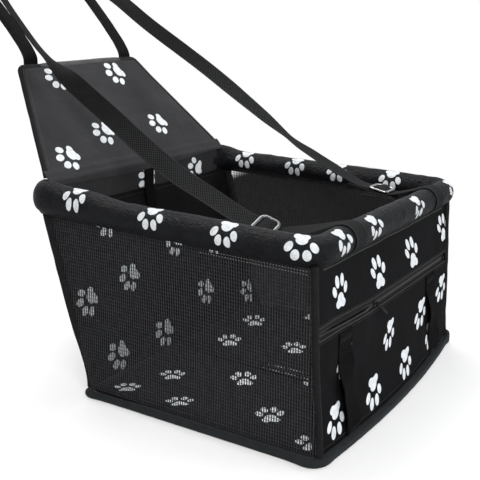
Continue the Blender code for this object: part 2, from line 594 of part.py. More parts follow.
    # adjuster
    line_frame = empty(f"adjuster_{side}_line", (s * STRAP_X, adj.y, adj.z), (math.atan2(along.z, along.y), 0, 0))
    fr = empty(f"adjuster_{side}_frame", (0, 0, 0), (0, -math.radians(tilt), 0), line_frame)
    a = box(f"adjuster_{side}", (-ADJ_HX, -ADJ_HY, -ADJ_T / 2), (ADJ_HX, ADJ_HY, ADJ_T / 2), BUCKLE, fr, bevel=0.0006)
    for i, e in enumerate((-1, 1)):
        lo, hi = sorted((e * BAR_C, e * (BAR_C + SLOT)))
        cut(a, box(f"adjuster_{side}_slot_{i}", (-SLOT_HX, lo, -0.004), (SLOT_HX, hi, 0.004), BUCKLE, fr, collection=cutters))

# ------------------------------------------------------------------- tether
HOOK_X, EYE_Y = -0.0360, -0.0800
TX0 = 0.0020
band_y = by - 0.0004 - TETHER_T / 2


def back_inner(zz):
    return lerp(BACK_BOTTOM_Y, BACK_TOP_Y, (zz - wall_bottom_z) / (back_top_z - wall_bottom_z)) - WALL_T / 2 - 0.0008 - TETHER_T / 2


lie = FLOOR_Z + 0.0004 + TETHER_T / 2
route = [(TX0, band_y, 0.2460), (TX0, band_y, 0.2350), (0.0015, band_y, 0.2240), (-0.0005, back_inner(0.2000) - 0.0006, 0.2000), (-0.0040, back_inner(0.1600), 0.1600), (-0.0070, back_inner(0.1150), 0.1150), (-0.0095, back_inner(0.0720), 0.0720), (-0.0115, back_inner(0.0450) - 0.0005, 0.0450), (-0.0130, 0.1480, 0.0260), (-0.0150, 0.1350, 0.0155), (-0.0175, 0.1180, lie), (-0.0235, 0.0850, lie), (-0.0300, 0.0450, lie), (-0.0320, 0.0050, lie), (-0.0330, -0.0350, lie), (-0.0350, -0.0620, lie), (HOOK_X, EYE_Y + 0.0016, lie)]
tether_line = catmull(route, 0.010)
for p in tether_line:
    p.z = max(p.z, lie)
ribbon("tether_strap", tether_line, TETHER_W, TETHER_T, WEBBING)

# snap hook, lying flat: a strap eye, a body and a round bail closed by a sprung gate
hook_z = FLOOR_Z + 0.0004 + 0.0026
hook = empty("hook_frame", (HOOK_X, EYE_Y, hook_z))
ER = 0.0016
eye_pts = [(x, y - 0.0045, 0) for x, y in rounded_rect(0.0120, 0.0045, 0.0025, 3)]
eye_ob = wire("tether_hook_eye", eye_pts, ER, STEEL, hook, 2, caps=False, cyclic=True)
eye_ob = to_mesh_object(eye_ob)
cutters.objects.link(eye_ob)
parts.objects.unlink(eye_ob)
body = box("tether_hook", (-0.0100, -0.0170, -0.0026), (0.0100, -0.0085, 0.0026), STEEL, hook, bevel=0.0012)
cut(body, eye_ob, "UNION")
RB = 0.0080                      # bail radius
bail_c = (0.0, -0.0400)
line = [(RB, -0.0140, 0), (RB, -0.0200, 0), (RB, -0.0300, 0)] + [(RB * math.cos(math.radians(a)), bail_c[1] + RB * math.sin(math.radians(a)), 0) for a in range(0, -181, -20)] + [(-RB, -0.0365, 0)]
bail = to_mesh_object(wire("tether_hook_bail", line, 0.0022, STEEL, hook, 3))
cutters.objects.link(bail)
parts.objects.unlink(bail)
cut(body, bail, "UNION")
cut(body, box("hook_notch", (-0.0110, -0.0190, -0.0012), (-0.0045, -0.0110, 0.0012), STEEL, hook, collection=cutters))
cut(body, cylinder("hook_pin_bore", (-RB, -0.0142, -0.005), (-RB, -0.0142, 0.005), 0.0010, STEEL, hook, collection=cutters))
gate_frame = empty("gate_frame", (-RB, -0.0142, 0), parent=hook)
gate = box("hook_gate", (-0.0014, -0.0216, -0.0009), (0.0014, 0.0014, 0.0009), STEEL, gate_frame, bevel=0.0003)
cut(gate, cylinder("gate_bore", (0, 0, -0.004), (0, 0, 0.004), 0.0010, STEEL, gate_frame, collection=cutters))
cylinder("hook_gate_pin", (-RB, -0.0142, -0.0025), (-RB, -0.0142, 0.0025), 0.00092, STEEL, hook, 12)
for ob in cutters.objects:
    ob.hide_render = True
    ob.display_type = "WIRE"
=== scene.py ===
# Looks of the folding dog car seat: black printed Oxford cloth, net sides, a padded
# tube rim, a board-stiffened flap, webbing straps with metal adjusters, a zipped
# front pocket and an inner tether. Metres, +Z up, front towards -Y.

import json
import math

import bpy
import numpy as np
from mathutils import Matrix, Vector

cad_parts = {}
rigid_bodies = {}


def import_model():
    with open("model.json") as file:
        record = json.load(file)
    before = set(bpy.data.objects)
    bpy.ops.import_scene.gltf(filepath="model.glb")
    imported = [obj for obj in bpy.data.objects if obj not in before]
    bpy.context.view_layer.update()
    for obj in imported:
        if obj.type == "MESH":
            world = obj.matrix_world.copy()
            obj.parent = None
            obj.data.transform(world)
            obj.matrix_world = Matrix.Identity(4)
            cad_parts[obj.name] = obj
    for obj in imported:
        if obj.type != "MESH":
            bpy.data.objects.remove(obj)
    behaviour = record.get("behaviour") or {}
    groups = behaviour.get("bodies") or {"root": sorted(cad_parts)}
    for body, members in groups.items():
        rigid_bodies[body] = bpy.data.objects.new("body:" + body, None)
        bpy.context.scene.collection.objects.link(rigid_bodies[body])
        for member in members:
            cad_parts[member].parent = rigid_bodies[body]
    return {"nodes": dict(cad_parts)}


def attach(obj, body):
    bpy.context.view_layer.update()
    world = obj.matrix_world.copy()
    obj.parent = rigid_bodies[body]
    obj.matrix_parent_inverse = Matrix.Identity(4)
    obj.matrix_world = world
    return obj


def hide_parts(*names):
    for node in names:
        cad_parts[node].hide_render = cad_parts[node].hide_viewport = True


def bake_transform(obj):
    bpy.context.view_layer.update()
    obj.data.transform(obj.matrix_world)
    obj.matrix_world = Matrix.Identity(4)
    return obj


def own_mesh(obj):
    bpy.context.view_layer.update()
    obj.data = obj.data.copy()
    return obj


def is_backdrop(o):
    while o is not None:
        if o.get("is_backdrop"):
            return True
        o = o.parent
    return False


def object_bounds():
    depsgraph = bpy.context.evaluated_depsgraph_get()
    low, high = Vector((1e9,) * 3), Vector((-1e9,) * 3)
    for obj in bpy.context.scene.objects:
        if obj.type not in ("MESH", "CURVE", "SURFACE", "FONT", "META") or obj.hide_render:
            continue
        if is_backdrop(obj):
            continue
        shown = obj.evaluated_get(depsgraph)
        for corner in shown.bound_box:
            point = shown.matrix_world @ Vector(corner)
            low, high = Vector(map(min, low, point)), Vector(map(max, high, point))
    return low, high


for ob in list(bpy.data.objects):
    bpy.data.objects.remove(ob, do_unlink=True)
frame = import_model()
cad_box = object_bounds()
nodes = frame["nodes"]
scene = bpy.context.scene

# ------------------------------------------------------------------- camera
cam = bpy.data.objects.new("camera", bpy.data.cameras.new("camera"))
scene.collection.objects.link(cam)
cam.data.sensor_width = 36.0
cam.data.lens = 63.47
cam.data.clip_start = 0.02
cam.data.clip_end = 50.0
cam.location = (-0.9178, -0.5022, 0.4285)
cam.rotation_mode = "QUATERNION"
cam.rotation_quaternion = Vector((0.8272, 0.5088, -0.2385)).to_track_quat("-Z", "Y")
scene.camera = cam
scene.view_settings.view_transform = "Standard"
scene.view_settings.look = "None"

# --------------------------------------------------------------- dimensions
GAP = 0.0003
BASE_HALF_X, BASE_HALF_Y = 0.2035, 0.1525
WELT_W, WELT_H, WELT_R = 0.0100, 0.0090, 0.0200
BASE_FLARE, BASE_BOW, BASE_SKEW, FOOT_H = 0.225, 0.0140, 0.024, 0.0750
UNDER_T, BOARD_T, PAD_T = 0.0012, 0.0030, 0.0040
FLOOR_Z = UNDER_T + GAP + BOARD_T + GAP + PAD_T
RIM_HALF_X = 0.2000
RIM_FRONT, RIM_BACK = (-0.1465, 0.2190), (0.2267, 0.2355)
ELBOW_BEND, SLEEVE_R = 0.0260, 0.0155
BOTTOM_X, TOP_X = 0.2045, 0.2000
FRONT_BOTTOM_Y, BACK_BOTTOM_Y, BACK_TOP_Y = -0.1535, 0.1540, 0.2140
FRONT_H = 0.1935
ZIP_H, ZIP_HALF, SLIDER_X = 0.1170, 0.1935, -0.0480
STRIP_X, STRIP_W = 0.1370, 0.0320
FOLD, FLAP_TOP = (0.2140, 0.2572), (0.3235, 0.3890)
FLAP_HALF_BOTTOM, FLAP_HALF_TOP, FLAP_START = 0.1920, 0.1210, 0.0050
WEB_W, WEB_T = 0.0250, 0.0014
STRAP_X, STRAP_SEWN_X = 0.1240, 0.0980
TETHER_W, TETHER_T = 0.0200, 0.0016
rim_tilt = math.atan2(RIM_BACK[1] - RIM_FRONT[1], RIM_BACK[0] - RIM_FRONT[0])
rim_depth = math.hypot(RIM_BACK[1] - RIM_FRONT[1], RIM_BACK[0] - RIM_FRONT[0])
wall_z = WELT_H + GAP


def rim_axis_z(y):
    return RIM_FRONT[1] + (y - RIM_FRONT[0]) * math.tan(rim_tilt)


def under_sleeve(y):
    return rim_axis_z(y) - (SLEEVE_R + 0.0005) / math.cos(rim_tilt)


front_top_z = under_sleeve(RIM_FRONT[0]) - 0.0001
back_top_z = 0.2192
lean = math.atan2(RIM_FRONT[0] - FRONT_BOTTOM_Y, front_top_z - wall_z)

# how far each wall flattens when the rim comes down 150 mm
KEEP_FRONT = (front_top_z - 0.150 - wall_z) / (front_top_z - wall_z)
KEEP_BACK = (back_top_z - 0.150 - wall_z) / (back_top_z - wall_z)
KEEP_SIDE = 0.27
KEEP_TETHER = 0.377
WORLD_LIGHT = 0.55

# -------------------------------------------------------------------- numbers
_table = np.random.RandomState(11).rand(4096) * 2 - 1


def _lattice(i, j, k):
    return _table[(i * 73856093 ^ j * 19349663 ^ k * 83492791) & 4095]


def noise(x, y, z=0.0):
    """Smooth value noise from -1 to 1, one bump to a unit."""
    x, y, z = np.broadcast_arrays(np.asarray(x, float), np.asarray(y, float), np.asarray(z, float))
    i, j, k = (np.floor(a).astype(np.int64) for a in (x, y, z))
    f, g, h = x - i, y - j, z - k
    f, g, h = (a * a * (3 - 2 * a) for a in (f, g, h))
    total = 0.0
    for a in (0, 1):
        for b in (0, 1):
            for c in (0, 1):
                w = (f if a else 1 - f) * (g if b else 1 - g) * (h if c else 1 - h)
                total = total + w * _lattice(i + a, j + b, k + c)
    return total


def lerp(a, b, t):
    return a + (b - a) * t


def flare(y):
    """The base's width at y, against its nominal width: wider at the front."""
    return 1.0035 - BASE_FLARE * np.asarray(y, float)


def bow(x):
    """How far the base's front edge stands out at x; it lies slightly askew."""
    x = np.asarray(x, float)
    return BASE_BOW * np.clip(1 - (x / 0.2220) ** 2, 0, 1) - BASE_SKEW * x


def plan(x, y):
    """Nominal base coordinates to the real plan of the base."""
    px = x * flare(y)
    return px, y - bow(px) * np.clip((-y - 0.05) / 0.10, 0, 1)


def ramp(x, a, b):
    t = np.clip((np.asarray(x, float) - a) / (b - a), 0, 1)
    return t * t * (3 - 2 * t)


def bump(x, centre, width):
    return np.exp(-(((np.asarray(x, float) - centre) / width) ** 2))


def unit(v):
    return v / np.maximum(np.linalg.norm(v, axis=-1, keepdims=True), 1e-12)


def length_along(p):
    return np.concatenate([[0.0], np.cumsum(np.linalg.norm(np.diff(p, axis=0), axis=1))])


def resample(p, step, closed=False):
    p = np.asarray(p, float)
    if closed:
        p = np.vstack([p, p[:1]])
    s = length_along(p)
    n = max(2, int(round(s[-1] / step)) + 1)
    q = np.linspace(0, s[-1], n)
    out = np.stack([np.interp(q, s, p[:, c]) for c in range(p.shape[1])], 1)
    return out[:-1] if closed else out


def catmull(points, step):
    pts = [np.array(p, float) for p in points]
    ext = [2 * pts[0] - pts[1]] + pts + [2 * pts[-1] - pts[-2]]
    out = []
    for i in range(1, len(ext) - 2):
        p0, p1, p2, p3 = ext[i - 1:i + 3]
        n = max(1, round(float(np.linalg.norm(p2 - p1)) / step))
        for k in range(n):
            t = k / n
            out.append(0.5 * ((2 * p1) + (p2 - p0) * t + (2 * p0 - 5 * p1 + 4 * p2 - p3) * t * t + (3 * p1 - p0 - 3 * p2 + p3) * t ** 3))
    out.append(pts[-1])
    return np.array(out)


def xyz(x, y, z):
    x, y, z = np.broadcast_arrays(np.asarray(x, float), np.asarray(y, float), np.asarray(z, float))
    return np.stack([x, y, z], -1)


# --------------------------------------------------------------------- meshes
def add_mesh(name, verts, groups, mat, angle=45, closed=True):
    """A mesh object from groups of (faces, {uv map: coordinates of each corner}); a closed one is turned to face out."""
    verts = np.asarray(verts, float).reshape(-1, 3)
    if closed:
        volume = 0.0
        for f, _ in groups:
            p = verts[f]
            for i in range(1, f.shape[1] - 1):
                volume += np.einsum("ij,ij->", p[:, 0], np.cross(p[:, i], p[:, i + 1]))
        if volume < 0:
            groups = [(f[:, ::-1], {k: u[:, ::-1] for k, u in uv.items()}) for f, uv in groups]
    faces = []
    for f, _ in groups:
        faces += f.tolist()
    me = bpy.data.meshes.new(name)
    me.from_pydata(verts.tolist(), [], faces)
    for layer in sorted({k for _, uv in groups for k in uv}):
        data = np.concatenate([(uv[layer] if layer in uv else np.full(f.shape + (2,), 9.0)).reshape(-1, 2) for f, uv in groups])
        me.uv_layers.new(name=layer).data.foreach_set("uv", data.astype(np.float32).ravel())
    me.update()
    ob = bpy.data.objects.new(name, me)
    scene.collection.objects.link(ob)
    me.materials.append(mat)
    me.shade_smooth()
    me.set_sharp_from_angle(angle=math.radians(angle))
    return ob


def quads(nu, nv, wrap_u=False, wrap_v=False):
    i = np.arange(nu if wrap_u else nu - 1)[:, None]
    j = np.arange(nv if wrap_v else nv - 1)[None, :]
    i1, j1 = (i + 1) % nu, (j + 1) % nv
    return np.stack([i * nv + j, i1 * nv + j, i1 * nv + j1, i * nv + j1], -1).reshape(-1, 4)


def corner_uv(u, v):
    p = np.stack([u, v], -1)
    return np.stack([p[:-1, :-1], p[1:, :-1], p[1:, 1:], p[:-1, 1:]], 2).reshape(-1, 4, 2)


def paw_uv(q, paws):
    """Each face near a paw gets that paw's own coordinates, in centimetres; the rest lie far off the motif."""
    out = np.full(q.shape, 9.0)
    middle = q.mean(1)
    for x, y, degrees, k, *pulled in paws:
        lean, tall = pulled or (0.0, 1.0)    # toes drawn sideways, and length over width, from cloth cut and pulled askew
        t = np.array([math.cos(math.radians(degrees)), math.sin(math.radians(degrees))])
        centre = np.array([x, y]) + (t + lean * np.array([t[1], -t[0]])) * 0.010 * k * tall
        near = np.hypot(middle[:, 0] - centre[0], middle[:, 1] - centre[1]) < (0.0250 + 0.010 * abs(lean)) * k * max(tall, 1.0)
        d = (q[near] - (x, y)) / k * 100
        along = d[..., 0] * t[0] + d[..., 1] * t[1]
        out[near] = np.stack([d[..., 0] * t[1] - d[..., 1] * t[0] - lean * along, along / tall], -1)
    return out


def shell(name, place, us, vs, t, mat, metres=None, paws=(), angle=50, lift=0.0):
    """A thin closed sheet about the surface place(u, v)."""
    u, v = np.meshgrid(us, vs, indexing="ij")
    c = place(u, v)
    n = unit(np.cross(np.gradient(c, axis=0), np.gradient(c, axis=1)))
    half = (t(u, v)[..., None] if callable(t) else t) / 2
    a, b = c + n * (lift + half), c + n * (lift - half)
    mu, mv = (u, v) if metres is None else metres(u, v)
    nu, nv = u.shape
    q, uv = quads(nu, nv), corner_uv(mu, mv)
    pr = paw_uv(uv, paws)
    groups = [(q, {"Cloth": uv, "Print": pr}), (q[:, ::-1] + nu * nv, {"Cloth": uv[:, ::-1], "Print": pr[:, ::-1]})]
    ids = np.arange(nu * nv).reshape(nu, nv)
    ring = np.concatenate([ids[:-1, 0], ids[-1, :-1], ids[:0:-1, -1], ids[0, :0:-1]])
    nxt = np.roll(ring, -1)
    flat = np.stack([mu, mv], -1).reshape(-1, 2)
    groups.append((np.stack([ring + nu * nv, nxt + nu * nv, nxt, ring], 1), {"Cloth": np.stack([flat[ring], flat[nxt], flat[nxt], flat[ring]], 1)}))
    return add_mesh(name, np.concatenate([a.reshape(-1, 3), b.reshape(-1, 3)]), groups, mat, angle)


def sweep(name, rings, mat, us, vs, loop=False, paws=(), angle=50):
    """A closed body through rings of points; loop joins its last ring to its first."""
    n, k = rings.shape[:2]
    us = np.asarray(us, float)
    vs = np.asarray(vs, float)
    if vs.ndim == 1:
        vs = np.broadcast_to(vs, (len(us), len(vs)))
    u = np.broadcast_to(us[:, None], vs.shape)
    uv = corner_uv(u, vs)
    groups = [(quads(n, k, loop, True), {"Cloth": uv, "Print": paw_uv(uv, paws)})]
    if not loop:
        first = np.arange(k)[None, :]
        last = (np.arange(k)[::-1] + (n - 1) * k)[None, :]
        flat = np.stack([u[0, :k], vs[0, :k]], -1)[None]
        groups += [(first, {"Cloth": flat}), (last, {"Cloth": flat[:, ::-1]})]
    return add_mesh(name, rings.reshape(-1, 3), groups, mat, angle)


def tangents(p, loop=False):
    if loop:
        return unit(np.roll(p, -1, 0) - np.roll(p, 1, 0))
    return unit(np.gradient(p, axis=0))


def web_section(w, t, cup=0.0):
    """Flat webbing's section, across and out of it, with slightly thicker edges."""
    a = np.array([-0.5, -0.485, -0.43, -0.25, 0, 0.25, 0.43, 0.485, 0.5]) * w
    b = np.array([0.0, 0.5, 0.44, 0.42, 0.42, 0.42, 0.44, 0.5, 0.0]) * t
    top = np.stack([a, b + cup * (1 - (2 * a / w) ** 2)], 1)
    low = np.stack([a, -b + cup * (1 - (2 * a / w) ** 2)], 1)[-2:0:-1]
    return np.vstack([top, low])


def ribbon(name, path, across, w, t, mat, cup=0.0, u0=0.0, angle=50):
    """Webbing along path; across is its width direction at each point."""
    tan = tangents(path)
    across = unit(across - tan * np.sum(across * tan, 1, keepdims=True))
    out = np.cross(tan, across)
    sec = web_section(w, t, cup)
    rings = path[:, None] + across[:, None] * sec[None, :, :1] + out[:, None] * sec[None, :, 1:]
    vs = np.append(sec[:, 0], sec[0, 0])
    return sweep(name, rings, mat, length_along(path) + u0, vs, angle=angle)


def stitches(name, path, normal, mat, pitch=0.0030, length=0.0022, width=0.00055, closed=False):
    """A row of sewn stitches on a surface: small humps of thread whose ends dip into the cloth."""
    if closed:
        path, normal = np.vstack([path, path[:1]]), np.vstack([normal, normal[:1]])
    s = length_along(path)
    count = max(1, int(s[-1] / pitch))
    mid = (np.arange(count) + 0.5) * s[-1] / count
    along = np.array([-0.5, -0.3, 0.0, 0.3, 0.5]) * length
    rise = np.array([-0.5, 0.25, 0.45, 0.25, -0.5]) * width
    fat = np.array([0.0, 0.85, 1.0, 0.85, 0.0]) * width / 2
    at = mid[:, None] + along[None]
    p = np.stack([np.interp(at, s, path[:, c]) for c in range(3)], -1)
    nn = unit(np.stack([np.interp(at, s, normal[:, c]) for c in range(3)], -1))
    tt = unit(p[:, 4:5] - p[:, 0:1]) * np.ones((1, 5, 1))
    ss = unit(np.cross(tt, nn))
    core = p + nn * rise[None, :, None]
    k = 6
    ang = np.arange(k) * 2 * math.pi / k
    ring = core[:, 1:4, None] + fat[None, 1:4, None, None] * (np.cos(ang)[None, None, :, None] * ss[:, 1:4, None] + np.sin(ang)[None, None, :, None] * nn[:, 1:4, None])
    verts = np.concatenate([core[:, :1], ring.reshape(count, 3 * k, 3), core[:, 4:]], 1)
    step = 3 * k + 2
    j = np.arange(k)
    j1 = (j + 1) % k
    tri = np.concatenate([np.stack([np.zeros(k, int), 1 + j1, 1 + j], 1), np.stack([np.full(k, step - 1), 1 + 2 * k + j, 1 + 2 * k + j1], 1)])
    quad = np.concatenate([np.stack([1 + r * k + j, 1 + r * k + j1, 1 + (r + 1) * k + j1, 1 + (r + 1) * k + j], 1) for r in (0, 1)])
    base = np.arange(count)[:, None, None] * step
    groups = [((tri[None] + base).reshape(-1, 3), {}), ((quad[None] + base).reshape(-1, 4), {})]
    return {"name": name, "verts": verts.reshape(-1, 3), "groups": groups, "mat": mat}


def on_surface(place, u, v, lift, e=0.0002):
    """Points and normals on place(u, v), lifted off it."""
    u, v = np.broadcast_arrays(np.asarray(u, float), np.asarray(v, float))
    n = unit(np.cross(place(u + e, v) - place(u - e, v), place(u, v + e) - place(u, v - e)))
    return place(u, v) + n * lift, n


thread_rows = {}


def ride(ob, body, slot, replaces=(), keep=None):
    if isinstance(ob, dict):
        thread_rows.setdefault((body, slot, keep, ob["mat"].name), []).append(ob)
        return ob
    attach(ob, body)
    if keep is not None:
        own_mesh(ob)
    if replaces:
        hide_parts(*replaces)
    return ob


# ------------------------------------------------------------------ materials
class Look:
    """A Principled material with its texture nodes."""

    def __init__(self, name, rough=0.8, metal=0.0, spec=0.5, sheen=0.0, sheen_rough=0.5, tint=(1, 1, 1)):
        self.m = bpy.data.materials.new(name)
        self.m.use_nodes = True
        self.t = self.m.node_tree
        self.b = self.t.nodes["Principled BSDF"]
        for socket, value in (("Roughness", rough), ("Metallic", metal), ("Specular IOR Level", spec), ("Sheen Weight", sheen), ("Sheen Roughness", sheen_rough), ("Sheen Tint", (*tint, 1.0))):
            self.b.inputs[socket].default_value = value

    def put(self, socket, value):
        if isinstance(value, bpy.types.NodeSocket):
            self.t.links.new(value, socket)
        else:
            socket.default_value = value

    def node(self, kind, **props):
        n = self.t.nodes.new(kind)
        for k, v in props.items():
            setattr(n, k, v)
        return n

    def math(self, op, *args, clamp=False):
        n = self.node("ShaderNodeMath", operation=op, use_clamp=clamp)
        for i, a in enumerate(args):
            self.put(n.inputs[i], a)
        return n.outputs[0]

    def uv(self, name):
        return self.node("ShaderNodeUVMap", uv_map=name).outputs[0]

    def place(self):
        return self.node("ShaderNodeTexCoord").outputs["Object"]

    def split(self, vector):
        n = self.node("ShaderNodeSeparateXYZ")
        self.put(n.inputs[0], vector)
        return n.outputs[0], n.outputs[1], n.outputs[2]

    def noise(self, vector, scale, detail=2.0, rough=0.5, stretch=None):
        if stretch:
            mp = self.node("ShaderNodeMapping")
            self.put(mp.inputs["Vector"], vector)
            mp.inputs["Scale"].default_value = stretch
            vector = mp.outputs[0]
        n = self.node("ShaderNodeTexNoise")
        self.put(n.inputs["Vector"], vector)
        n.inputs["Scale"].default_value = scale
        n.inputs["Detail"].default_value = detail
        n.inputs["Roughness"].default_value = rough
        return n.outputs[0]

    def remap(self, value, a, b, c, d, smooth=False):
        n = self.node("ShaderNodeMapRange", interpolation_type="SMOOTHSTEP" if smooth else "LINEAR")
        self.put(n.inputs["Value"], value)
        for k, x in zip(("From Min", "From Max", "To Min", "To Max"), (a, b, c, d)):
            n.inputs[k].default_value = x
        return n.outputs[0]

    def mix(self, factor, a, b):
        n = self.node("ShaderNodeMix", data_type="RGBA")
        self.put(n.inputs[0], factor)
        self.put(n.inputs[6], (*a, 1.0) if isinstance(a, tuple) else a)
        self.put(n.inputs[7], (*b, 1.0) if isinstance(b, tuple) else b)
        return n.outputs[2]

    def sine(self, value, pitch):
        return self.math("SINE", self.math("MULTIPLY", value, 2 * math.pi / pitch))

    def raise_by(self, height, distance, strength=1.0, normal=None):
        n = self.node("ShaderNodeBump")
        n.inputs["Distance"].default_value = distance
        n.inputs["Strength"].default_value = strength
        self.put(n.inputs["Height"], height)
        if normal is not None:
            self.put(n.inputs["Normal"], normal)
        return n.outputs[0]

    def paw(self):
        """1 inside the paw print, 0 outside, from its local coordinates in centimetres."""
        p = self.uv("Print")

        def oval(x, y, hx, hy, degrees=0.0):
            mp = self.node("ShaderNodeMapping", vector_type="TEXTURE")
            self.put(mp.inputs["Vector"], p)
            mp.inputs["Location"].default_value = (x, y, 0)
            mp.inputs["Rotation"].default_value = (0, 0, math.radians(degrees))
            mp.inputs["Scale"].default_value = (hx, hy, 1)
            n = self.node("ShaderNodeVectorMath", operation="LENGTH")
            self.put(n.inputs[0], mp.outputs[0])
            return n.outputs["Value"]

        d = oval(0.0, 0.17, 0.77, 0.71)
        for x, y, hx, hy in ((-0.62, -0.38, 0.55, 0.51), (0.62, -0.38, 0.55, 0.51), (0.0, -0.32, 0.52, 0.46)):
            d = self.math("SMOOTH_MIN", d, oval(x, y, hx, hy), 0.25)
        for x, y, hx, hy, turn in ((-0.63, 2.17, 0.47, 0.72, 8), (0.63, 2.17, 0.47, 0.72, -8), (-1.40, 1.20, 0.45, 0.66, 25), (1.40, 1.20, 0.45, 0.66, -25)):
            d = self.math("MINIMUM", d, oval(x, y, hx, hy, turn))
        return self.remap(d, 0.95, 1.05, 1.0, 0.0, smooth=True)

    def colour(self, value):
        self.put(self.b.inputs["Base Color"], value)

    def normal(self, value):
        self.put(self.b.inputs["Normal"], value)

    def roughness(self, value):
        self.put(self.b.inputs["Roughness"], value)


def cloth(name, dark, light, paw=True, rough=(0.70, 0.88), spec=0.06, sheen=0.010, sheen_rough=0.45, tint=(0.85, 0.9, 1.0), mottle=26.0, crumple=0.0005, crease=(95.0, 2.0), weave=0.0011):
    """Coated Oxford cloth: a fine basket weave, soft uneven shade and small creases, with the print if it has one."""
    k = Look(name, spec=spec, sheen=sheen, sheen_rough=sheen_rough, tint=tint)
    uv = k.uv("Cloth")
    x, y, _ = k.split(uv)
    basket = k.math("MULTIPLY", k.sine(x, weave), k.sine(y, weave))
    shade = k.noise(uv, mottle, 3.0, 0.6)
    grain = k.noise(uv, 420.0, 1.0)
    level = k.math("ADD", k.remap(shade, 0.3, 0.7, 0.0, 0.8), k.math("MULTIPLY", basket, 0.14))
    level = k.math("ADD", level, k.remap(grain, 0.3, 0.7, -0.12, 0.12), clamp=True)
    base = k.mix(level, dark, light)
    height = k.math("ADD", k.math("MULTIPLY", basket, 0.10), k.remap(k.noise(uv, crease[0], crease[1], 0.55, (1.0, 1.6, 1.0)), 0.25, 0.75, 0.0, 1.0))
    if paw:
        mask = k.paw()
        ink = k.mix(k.remap(k.noise(uv, 180.0, 2.0), 0.3, 0.7, 0.0, 1.0), (0.57, 0.595, 0.62), (0.73, 0.755, 0.78))
        base = k.mix(mask, base, ink)
        height = k.math("ADD", height, k.math("MULTIPLY", mask, 0.35))
    k.colour(base)
    k.roughness(k.remap(shade, 0.3, 0.7, rough[0], rough[1]))
    k.normal(k.raise_by(height, crumple, 0.55))
    return k.m


OXFORD = cloth("oxford_cloth", (0.0036, 0.0036, 0.0040), (0.0085, 0.0087, 0.0096), spec=0.04, sheen=0.004)
RIM_CLOTH = cloth("rim_cloth", (0.0030, 0.0031, 0.0037), (0.0090, 0.0096, 0.0116), sheen=0.013, sheen_rough=0.30, tint=(0.78, 0.86, 1.0), mottle=60.0, crumple=0.0034, crease=(190.0, 4.0), rough=(0.36, 0.52), spec=0.10)
WELT_CLOTH = cloth("welt_cloth", (0.0110, 0.0128, 0.0140), (0.0215, 0.0245, 0.0258), paw=False, spec=0.10, sheen=0.04, mottle=50.0)
# the back band's printed cloth: painted lighter than the Oxford cloth of the walls, as painted light to make up for the
# shadow the band stands in
BAND_CLOTH_PAINTED_LIGHT = cloth("band_cloth", (0.0180, 0.0180, 0.0190), (0.0290, 0.0290, 0.0300), sheen=0.012)
FLAP_CLOTH = cloth("flap_cloth", (0.0240, 0.0240, 0.0256), (0.0400, 0.0400, 0.0420), sheen=0.02, mottle=16.0)
PLAIN_CLOTH = cloth("plain_cloth", (0.0055, 0.0056, 0.0062), (0.0120, 0.0124, 0.0140), paw=False)
# the flap's top hem: a copy of the dark cloth painted lighter, as a painted sheen where light falls on the tilted hem
HEM_CLOTH_PAINTED_SHEEN = cloth("hem_cloth", (0.0500, 0.0500, 0.0500), (0.0850, 0.0850, 0.0840), paw=False, mottle=50.0)


def tape(name, dark, light, across=0.0016, along=None, relief=0.00025, spec=0.08, rough=0.75, sheen=0.01, fuzz=0.0):
    """Woven tape: ribs across it, and lengthwise cords where along is given."""
    k = Look(name, rough=rough, spec=spec, sheen=sheen, sheen_rough=0.4)
    uv = k.uv("Cloth")
    x, y, _ = k.split(uv)
    rib = k.sine(x, across)
    if along:
        rib = k.math("MULTIPLY", rib, k.sine(y, along))
    blotch = k.noise(uv, 45.0, 3.0, 0.6)
    level = k.math("ADD", k.remap(rib, -1, 1, 0.0, 0.7), k.remap(blotch, 0.3, 0.7, -0.15, 0.30), clamp=True)
    k.colour(k.mix(level, dark, light))
    k.roughness(k.remap(blotch, 0.3, 0.7, rough - 0.08, rough + 0.10))
    k.normal(k.raise_by(rib, relief, 0.8))
    return k.m


WEBBING = tape("webbing", (0.0018, 0.0017, 0.0018), (0.0062, 0.0060, 0.0060), 0.0022, 0.0024, 0.00030, spec=0.03, sheen=0.004)


def strap_webbing(name, dark, light, grid):
    """Suspension webbing: a fine weave that opens to a visible grid towards the adjuster, where its colour is painted
    lighter as painted light on the lit span, with painted highlights along its edges and patches of painted sheen.
    """
    k = Look(name, rough=0.7, spec=0.03, sheen=0.006, sheen_rough=0.4)
    uv = k.uv("Cloth")
    x, y, _ = k.split(uv)
    fine = k.math("MULTIPLY", k.sine(x, 0.0021), k.sine(y, 0.0021))
    coarse = k.math("MULTIPLY", k.sine(x, 0.0034), k.sine(y, 0.0034))
    # the span towards the adjuster: the coarse grid in the bump, and its colour painted lighter there as painted light
    near = k.remap(x, grid[0], grid[1], 0.0, 1.0, True)
    # patches of painted sheen in the colour, and uneven roughness
    blotch = k.noise(uv, 30.0, 3.0, 0.6)
    # painted highlights along both edges, stronger on the painted lit span
    edge = k.remap(k.math("ABSOLUTE", y), WEB_W / 2 - 0.0016, WEB_W / 2 - 0.0004, 0.0, 1.0, True)
    level = k.math("ADD", k.remap(fine, -1, 1, 0.0, 0.16), k.remap(blotch, 0.45, 0.75, 0.0, 0.16))
    level = k.math("ADD", level, k.math("MULTIPLY", near, k.remap(coarse, -0.2, 0.9, 0.0, 0.9, True)))
    level = k.math("ADD", level, k.math("MULTIPLY", edge, k.remap(near, 0.0, 1.0, 0.12, 0.5)), clamp=True)
    k.colour(k.mix(level, dark, light))
    k.roughness(k.remap(blotch, 0.3, 0.7, 0.60, 0.85))
    k.normal(k.raise_by(k.math("ADD", fine, k.math("MULTIPLY", near, coarse)), 0.00025, 0.8))
    return k.m


